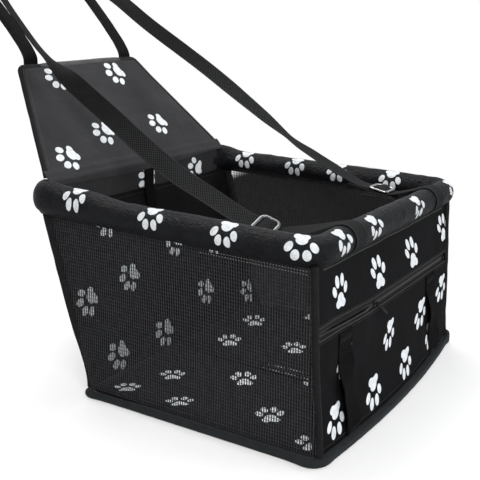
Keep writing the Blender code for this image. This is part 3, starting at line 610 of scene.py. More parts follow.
STRAP_WEBBING = strap_webbing("suspension_webbing", (0.0028, 0.0028, 0.0030), (0.0380, 0.0390, 0.0405), (0.44, 0.58))
BINDING = tape("binding_tape", (0.0045, 0.0045, 0.0050), (0.0170, 0.0170, 0.0180), 0.0018, None, 0.00022)
ZIP_TAPE = tape("zip_tape", (0.0055, 0.0055, 0.0060), (0.0190, 0.0190, 0.0200), 0.0009, 0.0011, 0.00012)


def plain(name, dark, light, rough=0.5, metal=0.0, spec=0.5, scale=200.0, bumpy=0.00006, stretch=None, spread=0.10):
    """Plastic, metal, thread or board: slight unevenness in colour, gloss and surface."""
    k = Look(name, rough=rough, metal=metal, spec=spec)
    p = k.place()
    n = k.noise(p, scale, 3.0, 0.55, stretch)
    k.colour(k.mix(k.remap(n, 0.3, 0.7, 0.0, 1.0), dark, light))
    k.roughness(k.remap(n, 0.3, 0.7, max(0.05, rough - spread), min(1.0, rough + spread)))
    k.normal(k.raise_by(n, bumpy, 0.6))
    return k.m


NET = plain("mesh_cloth", (0.0180, 0.0180, 0.0200), (0.0360, 0.0360, 0.0400), 0.60, spec=0.12, scale=160.0)
FUZZ_THREAD = plain("fuzzy_thread", (0.022, 0.024, 0.024), (0.080, 0.084, 0.082), 0.7, spec=0.15, scale=500.0)
THREAD = plain("dark_thread", (0.020, 0.020, 0.021), (0.050, 0.050, 0.052), 0.6, spec=0.3, scale=900.0)
SHADE_THREAD = plain("shade_thread", (0.006, 0.0062, 0.0062), (0.016, 0.0165, 0.0165), 0.7, spec=0.12, scale=900.0)
FLAP_THREAD = plain("flap_thread", (0.060, 0.062, 0.070), (0.110, 0.114, 0.125), 0.6, spec=0.2, scale=900.0)
WHITE_THREAD = plain("white_thread", (0.62, 0.62, 0.61), (0.80, 0.80, 0.79), 0.6, spec=0.3, scale=900.0)
PALE_THREAD = plain("pale_thread", (0.20, 0.20, 0.20), (0.34, 0.34, 0.34), 0.6, spec=0.3, scale=900.0)
HEM_EDGE = plain("hem_edge", (0.015, 0.016, 0.0155), (0.034, 0.036, 0.034), 0.65, spec=0.12, scale=600.0)
PIPING = plain("seam_cord", (0.026, 0.027, 0.027), (0.060, 0.062, 0.060), 0.6, spec=0.15, scale=600.0)
BOARD = plain("board", (0.050, 0.046, 0.042), (0.080, 0.074, 0.068), 0.85, spec=0.2, scale=90.0, bumpy=0.0002, stretch=(1, 6, 1))
PVC = plain("pvc_tube", (0.74, 0.74, 0.72), (0.82, 0.82, 0.80), 0.40, scale=60.0)
COIL = plain("zip_coil", (0.006, 0.006, 0.007), (0.014, 0.014, 0.015), 0.35, spec=0.5, scale=500.0)
ENAMEL = plain("zip_metal", (0.003, 0.003, 0.0033), (0.008, 0.008, 0.0085), 0.45, spec=0.18, scale=700.0)
# the right adjuster: the same metal as the left one, its colour painted lighter as a painted highlight where it catches
# the light
ADJUSTER_RIGHT_PAINTED_HIGHLIGHT = plain("adjuster_metal_right", (0.36, 0.365, 0.37), (0.58, 0.585, 0.59), 0.27, metal=1.0, scale=260.0, stretch=(1, 8, 8), bumpy=0.00003)
SILVER = plain("adjuster_metal", (0.105, 0.108, 0.11), (0.19, 0.193, 0.196), 0.38, metal=1.0, scale=260.0, stretch=(1, 8, 8), bumpy=0.00003)
CHROME = plain("hook_metal", (0.55, 0.56, 0.58), (0.72, 0.73, 0.75), 0.20, metal=1.0, scale=300.0, bumpy=0.00002)

for name, mat in {"base_board": BOARD, "flap_board": BOARD, "tether_hook": CHROME, "hook_gate": CHROME, "hook_gate_pin": CHROME, "zip_stop_left": ENAMEL, "zip_stop_right": ENAMEL}.items():
    nodes[name].data.materials.clear()
    nodes[name].data.materials.append(mat)
for name in nodes:
    if name.startswith(("rim_tube", "rim_elbow")):
        nodes[name].data.materials.clear()
        nodes[name].data.materials.append(PVC)

# --------------------------------------------------------------------- tether
HOOK_X, EYE_Y, TX0 = -0.0360, -0.0800, 0.0020
band_face = 0.2120
band_y = band_face - 0.0004 - TETHER_T / 2
lie = FLOOR_Z + 0.0004 + TETHER_T / 2


def back_inner(z):
    return lerp(BACK_BOTTOM_Y, BACK_TOP_Y, (z - wall_z) / (back_top_z - wall_z)) - 0.0006 - 0.0008 - TETHER_T / 2


route = [(TX0, band_y, 0.2460), (TX0, band_y, 0.2350), (0.0015, band_y, 0.2240), (-0.0005, back_inner(0.2000) - 0.0006, 0.2000), (-0.0040, back_inner(0.1600), 0.1600), (-0.0070, back_inner(0.1150), 0.1150), (-0.0095, back_inner(0.0720), 0.0720), (-0.0115, back_inner(0.0450) - 0.0005, 0.0450), (-0.0130, 0.1480, 0.0260), (-0.0150, 0.1350, 0.0155), (-0.0175, 0.1180, lie), (-0.0235, 0.0850, lie), (-0.0300, 0.0450, lie), (-0.0320, 0.0050, lie), (-0.0330, -0.0350, lie), (-0.0350, -0.0620, lie), (HOOK_X, EYE_Y + 0.0016, lie)]
tether_line = catmull(route, 0.005)
tether_line[:, 2] = np.maximum(tether_line[:, 2], lie)
tether = ribbon("tether_webbing", tether_line, np.tile([1.0, 0, 0], (len(tether_line), 1)), TETHER_W, TETHER_T, WEBBING)
ride(tether, "root", "webbing", ["tether_strap"], KEEP_TETHER)

for k, side in enumerate((-1, 1)):
    ln = tether_line[-17:-2]
    p = ln + np.array([side * 0.0070, 0, 0]) + np.array([0, 0, TETHER_T * 0.46])
    ride(stitches(f"tether_stitches_{k}", p, np.tile([0, 0, 1.0], (len(p), 1)), WHITE_THREAD, pitch=0.0044, length=0.0028, width=0.0012), "root", "webbing", keep=KEEP_TETHER)

# --------------------------------------------------------------------- floor
under_in = 0.0004


def corner_round(x, y, hx, hy, r):
    """Pulls the corners of a rectangular grid in to a radius."""
    ax, ay = np.abs(x) - (hx - r), np.abs(y) - (hy - r)
    far = np.hypot(ax, ay)
    k = np.where((ax > 0) & (ay > 0) & (far > r), r / np.maximum(far, 1e-9), 1.0)
    return np.where(k < 1, np.sign(x) * (hx - r + ax * k), x), np.where(k < 1, np.sign(y) * (hy - r + ay * k), y)


HX, HY = BASE_HALF_X - GAP, BASE_HALF_Y - GAP


def mat_top(x, y):
    px, py = corner_round(x, y, HX, HY, 0.010)
    edge = np.minimum(HX - np.abs(px), HY - np.abs(py))
    drop = 0.0020 * np.exp(-np.maximum(edge, 0) / 0.0035) + 0.0007 * bump(edge, 0.0075, 0.0013)
    z = FLOOR_Z - drop - 0.0005 * (0.5 + 0.5 * noise(px * 30, py * 30, 2.3)) * ramp(edge, 0, 0.02)
    return xyz(*plan(px, py), z)


def floor_mat():
    us, vs = np.linspace(-HX, HX, 104), np.linspace(-HY, HY, 78)
    u, v = np.meshgrid(us, vs, indexing="ij")
    top = mat_top(u, v)
    low = top.copy()
    low[..., 2] = UNDER_T + GAP + BOARD_T + GAP
    nu, nv = u.shape
    q, uv = quads(nu, nv), corner_uv(top[..., 0], top[..., 1])
    paws = [(x / 1000, y / 1000, 35, 0.88, 0.0, tall) for x, y, tall in ((-84.7, 3.8, 1.25), (41.7, 0.3, 1.25), (19.8, 91.2, 1.32), (109.3, 103.6, 1.42), (-118.8, 88.7, 0.84), (-177.8, 113.5, 0.7), (-177.8, 35.4, 0.68), (-156.6, -74.5, 1.16), (-191, -144, 1), (120, -60, 1), (-20, -100, 1), (70, -120, 1), (167, 31.2, 1.15), (-51.5, -81.5, 1.15))]
    pr = paw_uv(uv, paws)
    ids = np.arange(nu * nv).reshape(nu, nv)
    ring = np.concatenate([ids[:-1, 0], ids[-1, :-1], ids[:0:-1, -1], ids[0, :0:-1]])
    nxt = np.roll(ring, -1)
    flat = top[..., :2].reshape(-1, 2)
    groups = [(q, {"Cloth": uv, "Print": pr}), (q[:, ::-1] + nu * nv, {"Cloth": uv[:, ::-1]}), (np.stack([ring + nu * nv, nxt + nu * nv, nxt, ring], 1), {"Cloth": np.stack([flat[ring], flat[nxt], flat[nxt], flat[ring]], 1)})]
    return add_mesh("floor_mat", np.concatenate([top.reshape(-1, 3), low.reshape(-1, 3)]), groups, OXFORD, 60)


mat_piece = ride(floor_mat(), "root", "oxford_cloth", ["floor_pad"])


def rounded(hx, hy, r, n=8, step=0.004):
    out = []
    for cx, cy, a in ((hx - r, hy - r, 0), (-hx + r, hy - r, 90), (-hx + r, -hy + r, 180), (hx - r, -hy + r, 270)):
        out += [(cx + r * math.cos(math.radians(a + 90 * i / n)), cy + r * math.sin(math.radians(a + 90 * i / n))) for i in range(n + 1)]
    return resample(np.array(out), step, closed=True)


line = rounded(HX - 0.0075, HY - 0.0075, 0.008, step=0.0015)
p, n = on_surface(mat_top, line[:, 0], line[:, 1], 0.0001)
ride(stitches("floor_mat_stitches", p, n, THREAD, closed=True), "root", "oxford_cloth")


# underside of the base
def under_place(x, y):
    px, py = corner_round(x, y, HX, HY, 0.010)
    edge = np.minimum(HX - np.abs(px), HY - np.abs(py))
    return xyz(*plan(px, py), 0.0005 + 0.0003 * (0.5 + 0.5 * noise(px * 22, py * 22, 5.1)) * ramp(edge, 0.0, 0.03))


under = shell("base_underside_cloth", under_place, np.linspace(-HX, HX, 72), np.linspace(-HY, HY, 54), 0.0008, PLAIN_CLOTH)
ride(under, "root", "oxford_cloth", ["base_underside"])


# welt round the base: a folded strip of cloth over a soft core
def base_welt():
    path = rounded(BASE_HALF_X + WELT_W / 2, BASE_HALF_Y + WELT_W / 2, WELT_R - WELT_W / 2, 12, 0.0032)
    path = np.stack(plan(path[:, 0], path[:, 1]), 1)
    tan = tangents(path, True)
    out = np.stack([tan[:, 1], -tan[:, 0]], 1)
    s = np.arange(len(path)) * 0.0032
    m = len(path)
    a = np.linspace(0, 2 * math.pi, 21)[:-1]
    # a rounded block, fuller on the outside
    hx, hz = WELT_W / 2, WELT_H / 2
    sx = np.sign(np.cos(a)) * np.abs(np.cos(a)) ** 0.62 * hx
    sz = np.sign(np.sin(a)) * np.abs(np.sin(a)) ** 0.62 * hz
    th = 2 * math.pi * np.arange(m) / m
    wob = noise(np.cos(th)[:, None] * 9 + 20, np.sin(th)[:, None] * 9 + 20, a[None] * 0.8)
    fine = noise(np.cos(th)[:, None] * 42 + 60, np.sin(th)[:, None] * 42 + 60, np.cos(a)[None] * 1.4 + 4)
    outer = ramp(sx, -0.002, 0.004)[None]
    corner = np.zeros(m)
    for cx, cy in ((1, -1), (-1, -1), (1, 1), (-1, 1)):
        corner = np.maximum(corner, bump(np.hypot(path[:, 0] - cx * 0.206 * flare(cy * 0.155), path[:, 1] - cy * 0.155), 0, 0.018))
    puff = 1 + 0.05 * wob * outer + 0.035 * fine * outer
    rad = sx[None] * puff + corner[:, None] * 0.0026 * outer
    z = hz + sz[None] * (1 - 0.03 * (1 + fine) * (sz[None] > 0)) + corner[:, None] * 0.0008 * ramp(sz, 0, 0.003)[None] * outer
    # stitched groove on top
    z = z - 0.0006 * bump(sx, -0.0005, 0.0011)[None] * (sz > 0)[None]
    near = lambda cx, cy, r: bump(np.hypot(path[:, 0] - cx * 0.206 * flare(cy * 0.155), path[:, 1] - cy * 0.155), 0, r)[:, None]
    z = z * (1 - 0.45 * near(-1, 1, 0.070)) + 0.0055 * near(1, -1, 0.026) * ramp(sz, -0.001, 0.003)[None] * outer
    rings = np.stack([path[:, None, 0] + out[:, None, 0] * rad, path[:, None, 1] + out[:, None, 1] * rad, np.maximum(z, 0.0001)], -1)
    vs = np.append(a, 2 * math.pi) * 0.0048
    ob = sweep("base_welt", rings, WELT_CLOTH, np.append(s, m * 0.0032), vs, loop=True)
    groove = np.stack([path[:, 0] + out[:, 0] * 0.0012, path[:, 1] + out[:, 1] * 0.0012, np.full(m, WELT_H - 0.00015)], 1)
    return ob, groove


welt, groove = base_welt()
ride(welt, "root", "binding_tape", ["base_hem"])
ride(stitches("base_welt_stitches", groove, np.tile([0, 0, 1.0], (len(groove), 1)), THREAD, closed=True), "root", "binding_tape")


# ------------------------------------------------------------------ side nets
PITCH, RIB, LINK = 0.0031, 0.00104, 0.085


FRONT_X, BACK_X = BOTTOM_X * float(flare(FRONT_BOTTOM_Y)), BOTTOM_X * float(flare(BACK_BOTTOM_Y))


def s_bow(s):
    return float(bow(s * FRONT_X))


def net_edges(b):
    return lerp(FRONT_BOTTOM_Y + 0.001, RIM_FRONT[0] + 0.001, b), lerp(BACK_BOTTOM_Y - 0.0015, BACK_TOP_Y - 0.0055, b)


def net_place(s, y, b, lift=0.0):
    """The net wall: y along the seat, b from 0 at the base to 1 under the rim; it hangs slightly slack."""
    y0, y1 = net_edges(b)
    a = np.clip((y - y0) / (y1 - y0), 0, 1)
    y = y - s_bow(s) * (1 - b) * (1 - a)
    slack = 0.0030 * np.sin(math.pi * a) * np.sin(math.pi * np.clip(b, 0, 1)) + 0.0012 * noise(y * 14 + 3 * s, b * 2.4, 1.7) * np.sin(math.pi * np.clip(b, 0, 1))
    z = lerp(wall_z + 0.0002, under_sleeve(y) - 0.0002, b)
    return xyz(s * (lerp(lerp(FRONT_X, BACK_X, a), TOP_X, b) - slack + lift), y, z)


def net_panel(side, s):
    start = FRONT_BOTTOM_Y + 0.001
    ribs = int((BACK_TOP_Y - 0.0055 - start) / PITCH) + 1
    ys = np.array([start + k * PITCH + o for k in range(ribs) for o in (0, RIB / 2, RIB)])
    rows = 49
    bs = np.array([(r + o) / rows for r in range(rows) for o in (0, LINK)] + [1.0])
    nc, nr = len(ys) - 1, len(bs) - 1
    ic, jr = np.arange(nc)[:, None], np.arange(nr)[None, :]
    mid_y, mid_b = ((ys[:-1] + ys[1:]) / 2)[:, None], ((bs[:-1] + bs[1:]) / 2)[None, :]
    y0, y1 = net_edges(mid_b)
    solid = ((ic % 3 != 2) | (jr % 2 == 0)) & (mid_y > y0) & (mid_y < y1)
    yy, bb = np.meshgrid(ys, bs, indexing="ij")
    wave = 0.00022 * noise(yy * 40, bb * 60, 3.0)
    mid = (np.arange(len(ys)) % 3 == 1)[:, None]
    half = np.where(mid, 0.00045, 0.00024) * np.ones_like(yy)
    front = net_place(s, yy + wave, bb, half)
    back = net_place(s, yy + wave, bb, -half)
    n = yy.size
    ids = np.arange(n).reshape(yy.shape)
    c = np.argwhere(solid)
    i, j = c[:, 0], c[:, 1]
    q = np.stack([ids[i, j], ids[i + 1, j], ids[i + 1, j + 1], ids[i, j + 1]], 1)
    faces = [q, q[:, ::-1] + n]
    pad = np.zeros((nc + 2, nr + 2), bool)
    pad[1:-1, 1:-1] = solid
    e = np.argwhere(pad[:-1, 1:-1] & ~pad[1:, 1:-1])
    a, b = ids[e[:, 0], e[:, 1]], ids[e[:, 0], e[:, 1] + 1]
    faces.append(np.stack([a + n, b + n, b, a], 1))
    e = np.argwhere(~pad[:-1, 1:-1] & pad[1:, 1:-1])
    a, b = ids[e[:, 0], e[:, 1]], ids[e[:, 0], e[:, 1] + 1]
    faces.append(np.stack([b + n, a + n, a, b], 1))
    e = np.argwhere(~pad[1:-1, :-1] & pad[1:-1, 1:])
    a, b = ids[e[:, 0], e[:, 1]], ids[e[:, 0] + 1, e[:, 1]]
    faces.append(np.stack([a + n, b + n, b, a], 1))
    e = np.argwhere(pad[1:-1, :-1] & ~pad[1:-1, 1:])
    a, b = ids[e[:, 0], e[:, 1]], ids[e[:, 0] + 1, e[:, 1]]
    faces.append(np.stack([b + n, a + n, a, b], 1))
    f = np.concatenate(faces)
    verts = np.concatenate([front.reshape(-1, 3), back.reshape(-1, 3)])
    used, inverse = np.unique(f, return_inverse=True)
    ob = add_mesh(f"net_{side}", verts[used], [(inverse.reshape(f.shape), {})], NET, 30)
    ride(ob, "root", "mesh_cloth", [f"mesh_panel_{side}"], KEEP_SIDE)
    return ob


nets = {side: net_panel(side, s) for side, s in (("left", -1), ("right", 1))}

# two rows of overlocked stitches where each net is sewn under the rim
for side, s in (("left", -1), ("right", 1)):
    for row, b in enumerate((0.982, 0.966)):
        for part, lo, hi, mat in (("front", -0.1400, -0.0300 + 0.02 * row, PALE_THREAD), ("back", -0.0300 + 0.02 * row, 0.2030, THREAD)):
            y = np.linspace(lo, hi, 160)
            p = net_place(s, y, np.full_like(y, b), 0.0008)
            nn = np.tile([s * 1.0, 0, 0], (len(y), 1))
            ride(stitches(f"net_top_stitches_{side}_{part}_{row}", p, nn, mat, pitch=0.0034, length=0.0017, width=0.0006), "root", "mesh_cloth", keep=KEEP_SIDE)


# ------------------------------------------------------------ corner bindings
def draw_in(t):
    """The walls are drawn in a little above the welt."""
    return 0.0052 * np.exp(-((np.asarray(t, float) - 0.12) / 0.20) ** 2)


def binding(name, bottom, top, ox, oy, side_leaf, end_leaf, keep, node):
    """Tape folded round a corner edge: a leaf on the side wall and one on the front or back wall."""
    n = 56
    t = np.linspace(0, 1, n)
    a = [(-end_leaf, 0.9), (-end_leaf, 1.6), (-end_leaf * 0.6, 2.4), (-1.5, 3.4), (1.4, 3.9), (3.1, 3.1), (3.9, 1.4), (3.4, -1.5), (2.6, -side_leaf * 0.6), (1.7, -side_leaf), (0.9, -side_leaf), (1.0, -side_leaf * 0.6), (1.2, -1.5), (0.6, 0.6), (-1.5, 1.2), (-end_leaf * 0.6, 1.0)]
    sec = np.array(a) / 1000                       # (out along x, out along y)
    base = np.array(bottom)[None] * (1 - t)[:, None] + np.array(top)[None] * t[:, None]
    base[:, 0] -= ox * draw_in(t)
    flare = 1 + 0.35 * np.exp(-t / 0.05)
    wob = 1 + 0.10 * noise(t[:, None] * 16, np.arange(len(sec))[None] * 0.5, ox * 3 + oy)
    x = base[:, None, 0] + ox * sec[None, :, 0] * wob * flare[:, None]
    y = base[:, None, 1] + oy * sec[None, :, 1] * wob * flare[:, None]
    z = np.broadcast_to(base[:, None, 2], x.shape)
    per = np.append(length_along(sec), 0)
    per[-1] = per[-2] + np.linalg.norm(sec[0] - sec[-1])
    ob = sweep(name, np.stack([x, y, z], -1), BINDING, t * 0.2, per, angle=60)
    ride(ob, "root", "binding_tape", [node], keep)
    # one row of stitches on each leaf
    for k, (u, v, nx, ny) in enumerate(((2.75, -side_leaf * 0.62, 1, 0.1), (-end_leaf * 0.62, 2.65, 0.1, 1))):
        p = np.stack([base[:, 0] + ox * u / 1000, base[:, 1] + oy * v / 1000, base[:, 2]], 1)[2:-1]
        nn = np.tile(unit(np.array([ox * nx, oy * ny, 0.0])), (len(p), 1))
        ride(stitches(f"{name}_stitches_{k}", p, nn, SHADE_THREAD), "root", "binding_tape", keep=keep)
    if oy < 0:
        zz = t[2:-1]
        k2 = np.arange(len(zz) * 3)
        tt = np.interp(k2 / 3.0, np.arange(len(zz)), zz)
        bx, by_, bz = (np.interp(tt, t, base[:, c]) for c in range(3))
        zig = np.where(k2 % 2 == 0, -side_leaf * 0.80, -side_leaf * 1.12)
        p = np.stack([bx + ox * 1.95 / 1000, by_ + oy * zig / 1000, bz], 1)
        ride(stitches(f"{name}_overlock", p, np.tile([ox * 1.0, 0, 0], (len(p), 1)), FUZZ_THREAD, pitch=0.0021, length=0.0019, width=0.0006), "root", "binding_tape", keep=keep)
    return ob


back_top_bind = under_sleeve(BACK_TOP_Y) - 0.0030
for side, s in (("left", -1), ("right", 1)):
    binding(f"corner_tape_front_{side}", (s * FRONT_X, FRONT_BOTTOM_Y - s_bow(s), wall_z), (s * TOP_X, RIM_FRONT[0], front_top_z + 0.003), s, -1, 4.0, 5.0, KEEP_FRONT, f"corner_binding_front_{side}")
    binding(f"corner_tape_back_{side}", (s * BACK_X, BACK_BOTTOM_Y, wall_z), (s * TOP_X, BACK_TOP_Y - 0.0040, back_top_bind + 0.004), s, 1, 6.5, 5.0, 0.28, f"corner_binding_back_{side}")

# ------------------------------------------------------------------ back wall
HB, HT = BACK_X - 0.0004, TOP_X - 0.0004


def back_place(a, h):
    """a from -1 to 1 across, h up the wall in metres."""
    full = math.hypot(BACK_TOP_Y - BACK_BOTTOM_Y, back_top_z - wall_z)
    t = h / full
    x = a * lerp(HB, HT, t)
    edge = np.clip(1 - np.abs(a), 0, 1)
    sag = (0.0022 * np.sin(math.pi * np.clip(t, 0, 1)) * ramp(edge, 0, 0.25) + 0.0010 * noise(x * 16, h * 13, 7.7) * ramp(edge, 0, 0.12) * np.sin(math.pi * np.clip(t, 0, 1)) + 0.0007 * noise(x * 45 + h * 30, h * 20, 3.1) * np.sin(math.pi * np.clip(t, 0, 1)))
    tether_zone = bump(x, lerp(-0.012, 0.001, t), 0.022)
    sag = sag * (1 - 0.9 * tether_zone)
    cy = lerp(BACK_BOTTOM_Y, BACK_TOP_Y, t)
    cz = lerp(wall_z, back_top_z, t)
    ny, nz = (back_top_z - wall_z) / full, -(BACK_TOP_Y - BACK_BOTTOM_Y) / full   # out of the seat, to the back
    return xyz(x, cy + sag * ny, cz + sag * nz)


full_back = math.hypot(BACK_TOP_Y - BACK_BOTTOM_Y, back_top_z - wall_z)
back_paws = [(x / 1000, h / 1000, -160, 1.0) for x, h in ((85, 53), (192, 26), (-29, 24), (-88, 190), (40, 136), (-69, 113), (-156, 103), (-127, 24), (135, 118))]
back_wall = shell("back_wall", back_place, np.linspace(-1, 1, 92), np.linspace(0, full_back + 0.0040, 51), 0.0012, OXFORD, metres=lambda a, h: (a * lerp(HB, HT, h / full_back), h), paws=back_paws)
ride(back_wall, "root", "oxford_cloth", ["back_panel"], KEEP_BACK)
for k, h in enumerate((0.0040, full_back - 0.0045)):
    a = np.linspace(-0.97, 0.97, 200)
    for side, lift in (("in", -0.0007), ("out", 0.0007)):
        p, n = on_surface(back_place, a, np.full_like(a, h), 0.0)
        sign = 1 if n[0, 1] > 0 else -1
        n = n * sign * (1 if side == "out" else -1)
        ride(stitches(f"back_wall_stitches_{side}_{k}", p + n * 0.0007, n, THREAD), "root", "oxford_cloth", keep=KEEP_BACK)

# ----------------------------------------------------------------- front wall
cl, sl = math.cos(lean), math.sin(lean)


def front_at(x, d, h):
    """A point of the front wall: x across, d into the seat, h up the wall."""
    return xyz(x, FRONT_BOTTOM_Y + d * cl + h * sl - bow(x) * np.clip(1 - h / FOOT_H, 0, 1) ** 2, wall_z - d * sl + h * cl)


def front_half(h):
    return lerp(FRONT_X, TOP_X, h / FRONT_H) - 0.0041


UP0, UP1, POCKET_H = 0.1238, FRONT_H - 0.0002, 0.1108
LIP, LIP_UP = 0.0034, 0.0030                 # how far the open half of the pocket stands out, and up


def climb(x):
    """How far the open end of the zip and the cloth beside it ride up."""
    return 0.0052 * ramp(-x, 0.060, 0.205)


def gape(x):
    """How far the open half of the zip has parted, 0 to 1."""
    return ramp(x, -0.186, -0.150) * (1 - ramp(x, -0.085, SLIDER_X - 0.006))


def lining_place(a, h):
    x = a * front_half(h)
    return front_at(x, 0.0045 + 0.0008 * noise(x * 20, h * 20, 9.0) * np.sin(math.pi * np.clip(h / FRONT_H, 0, 1)), h)


def upper_place(a, h):
    x = a * front_half(h)
    t = np.clip((h - UP0) / (UP1 - UP0), 0, 1)
    soft = np.sin(math.pi * t)
    d = 0.0005 - 0.0016 * soft * ramp(1 - np.abs(a), 0, 0.12) - 0.0010 * noise(x * 18, h * 24, 4.4) * soft - 0.0006 * noise(x * 55, h * 16, 6.6) * soft
    d = d + 0.0022 * bump(x, 0.150, 0.030) * soft + 0.0009 * bump(x, -0.168, 0.018) * soft
    d = d - 0.0004 * noise(x * 90, 2.0, 1.0) * (1 - t) ** 4
    return front_at(x, d, h + (0.0012 * gape(x) + climb(x)) * (1 - t) ** 2)


def pocket_place(a, h):
    x = a * front_half(h)
    t = np.clip(h / POCKET_H, 0, 1)
    soft = np.sin(math.pi * t ** 0.8)
    g = gape(x)
    belly = 0.0016 * soft * ramp(1 - np.abs(a), 0, 0.12)
    d = 0.0005 - belly - 0.0012 * noise(x * 15 + 2, h * 18, 8.4) * soft - 0.0007 * noise(x * 50, h * 22, 2.2) * soft
    d = d - LIP * g * ramp(t, 0.45, 1.0)
    for s in (-1, 1):                      # flat under the webbing strips
        flat = bump(x, s * STRIP_X, 0.020)
        d = lerp(d, 0.0008 - LIP * g * ramp(t, 0.45, 1.0), 0.85 * flat)
    return front_at(x, d, h + (LIP_UP * g + climb(x)) * ramp(t, 0.5, 1.0))


def front_metres(a, h):
    return a * front_half(h), h


lining = shell("front_lining_cloth", lambda a, h: lining_place(a * (1 + 0.0036 / front_half(h)), h), np.linspace(-1, 1, 60), np.linspace(0, UP1, 32), 0.0010, PLAIN_CLOTH, metres=front_metres)
ride(lining, "root", "oxford_cloth", ["front_lining"], KEEP_FRONT)
upper_paws = [(-0.1425, 0.1450, 90, 0.94, -0.12, 1.12), (-0.036, 0.1418, 91, 1.03, -0.48, 1.08), (0.0730, 0.1410, 92, 1.06, -0.58, 1.08), (0.1915, 0.150, 92, 1.0, -0.42, 1.05)]
upper = shell("front_upper_cloth", upper_place, np.linspace(-1, 1, 112), np.linspace(UP0, UP1, 22), 0.0010, OXFORD, metres=front_metres, paws=upper_paws)
ride(upper, "root", "oxford_cloth", ["front_upper_panel"], KEEP_FRONT)
pocket_paws = [(0.0325, 0.0285, -89, 1.09, 0.42, 0.79), (-0.0685, 0.0280, -88, 1.12, 0.46, 0.75), (0.1040, 0.0722, -88, 1.16, 0.44, 0.79), (-0.0050, 0.0770, -88, 0.86, 0.42, 1.02), (-0.1640, 0.0310, -88, 1.03, 0.24, 0.86), (0.134, 0.0330, -90, 1.05, 0.40, 0.82), (-0.1315, 0.0840, -90, 1.04, 0.24, 0.82), (0.186, 0.0850, -90, 1.05, 0.40, 0.85)]
pocket = shell("pocket_cloth", pocket_place, np.linspace(-1, 1, 112), np.linspace(0.0002, POCKET_H, 34), 0.0010, OXFORD, metres=front_metres, paws=pocket_paws)
ride(pocket, "root", "oxford_cloth", ["pocket_panel"], KEEP_FRONT)


def edge_roll(name, place, h, r, mat, keep, lo=-0.995, hi=0.995, wavy=0.0):
    """The folded edge of a panel: a thin roll along its height h."""
    a = np.linspace(lo, hi, 240)
    p = place(a, np.full_like(a, h))
    p[:, 1] -= 0.0003
    tan = tangents(p)
    up = unit(np.tile([0.0, sl, cl], (len(a), 1)) - tan * (tan @ np.array([0.0, sl, cl]))[:, None])
    out = np.cross(tan, up)
    k = np.arange(10) * 2 * math.pi / 10
    fat = r * (1 + wavy * noise(a * 30, 3.0, 1.0))
    rings = p[:, None] + fat[:, None, None] * (np.cos(k)[None, :, None] * up[:, None] * 1.35 + np.sin(k)[None, :, None] * out[:, None])
    ob = sweep(name, rings, mat, length_along(p), np.append(k, 2 * math.pi) * r, angle=70)
    return ride(ob, "root", "oxford_cloth", keep=keep)


edge_roll("front_upper_hem", upper_place, UP0 + 0.0006, 0.00070, HEM_EDGE, KEEP_FRONT, wavy=0.12)
edge_roll("pocket_lip", pocket_place, POCKET_H - 0.0006, 0.00080, HEM_EDGE, KEEP_FRONT, wavy=0.12)
a = np.linspace(-0.985, 0.985, 260)
for name, place, h, keep in (("upper_hem_stitches", upper_place, UP0 + 0.0034, KEEP_FRONT), ("pocket_lip_stitches", pocket_place, POCKET_H - 0.0036, KEEP_FRONT), ("pocket_foot_stitches", pocket_place, 0.0036, KEEP_FRONT)):
    p, n = on_surface(place, a, np.full_like(a, h), 0.0)
    n = n * (1 if n[0, 1] < 0 else -1)
    ride(stitches(name, p + n * 0.0006, n, THREAD), "root", "oxford_cloth", keep=keep)

# zip: woven tapes, and a nylon coil of small hooks along the edge of each
open_x = SLIDER_X - 0.006


def tape_place(sign):
    def place(x, w):
        """w from 0 at the coil to 1 at the outer edge of the tape."""
        g = gape(x) if sign < 0 else 0.0
        return front_at(x, 0.00185 - 0.0034 * g + 0.0003 * w, ZIP_H + sign * (0.0016 + 0.0114 * w) + 0.0008 * g + 0.0018 * g * w + climb(x))
    return place


for name, sign in (("upper", 1), ("lower", -1)):
    place = tape_place(sign)
    ob = shell(f"zip_tape_{name}_cloth", place, np.linspace(-ZIP_HALF, ZIP_HALF, 130), np.linspace(0, 1, 6), 0.0007, ZIP_TAPE, metres=lambda x, w: (x, w * 0.0114))
    ride(ob, "zip", "zip_tape", [f"zip_tape_{name}"])
    pitch = 0.0015
    count = int(2 * (ZIP_HALF - 0.004) / pitch)
    xs = -ZIP_HALF + 0.004 + (np.arange(count) + (0.5 if sign > 0 else 0.0)) * pitch
    shut = ramp(xs, open_x - 0.002, open_x + 0.004)
    reach = 0.0010 * shut                  # the closed coils mesh past the middle
    g = gape(xs) if sign < 0 else np.zeros_like(xs)
    # one hook: a flattened loop, thick at its head
    prof = [(0.0019, 0.00045), (0.0012, 0.00048), (0.0002, 0.00055), (-0.0004, 0.00060), (-0.0007, 0.00030)]
    k = 6
    ang = np.arange(k) * 2 * math.pi / k
    verts = []
    for off, r in prof:
        h = ZIP_H + sign * (np.maximum(off + 0.0010 - reach, -0.0007)) + 0.0008 * g + climb(xs)
        dd = 0.00175 - 0.0034 * g
        verts.append(front_at(xs[:, None] + r * np.cos(ang)[None] * 0.95, dd[:, None] + r * np.sin(ang)[None] * 1.25, h[:, None] + 0 * ang[None]))
    verts = np.stack(verts, 1)             # hook, ring, k, 3
    m = len(prof)
    q = quads(m, k, False, True)
    caps = [np.arange(k)[None], (np.arange(k)[::-1] + (m - 1) * k)[None]]
    base = (np.arange(count) * m * k)[:, None, None]
    groups = [((q[None] + base).reshape(-1, 4), {}), ((caps[0][None] + base).reshape(-1, k), {}), ((caps[1][None] + base).reshape(-1, k), {})]
    ob = add_mesh(f"zip_teeth_{name}", verts.reshape(-1, 3), groups, COIL, 60)
    ride(ob, "zip", "zip_coil", [f"zip_coil_{name}"])


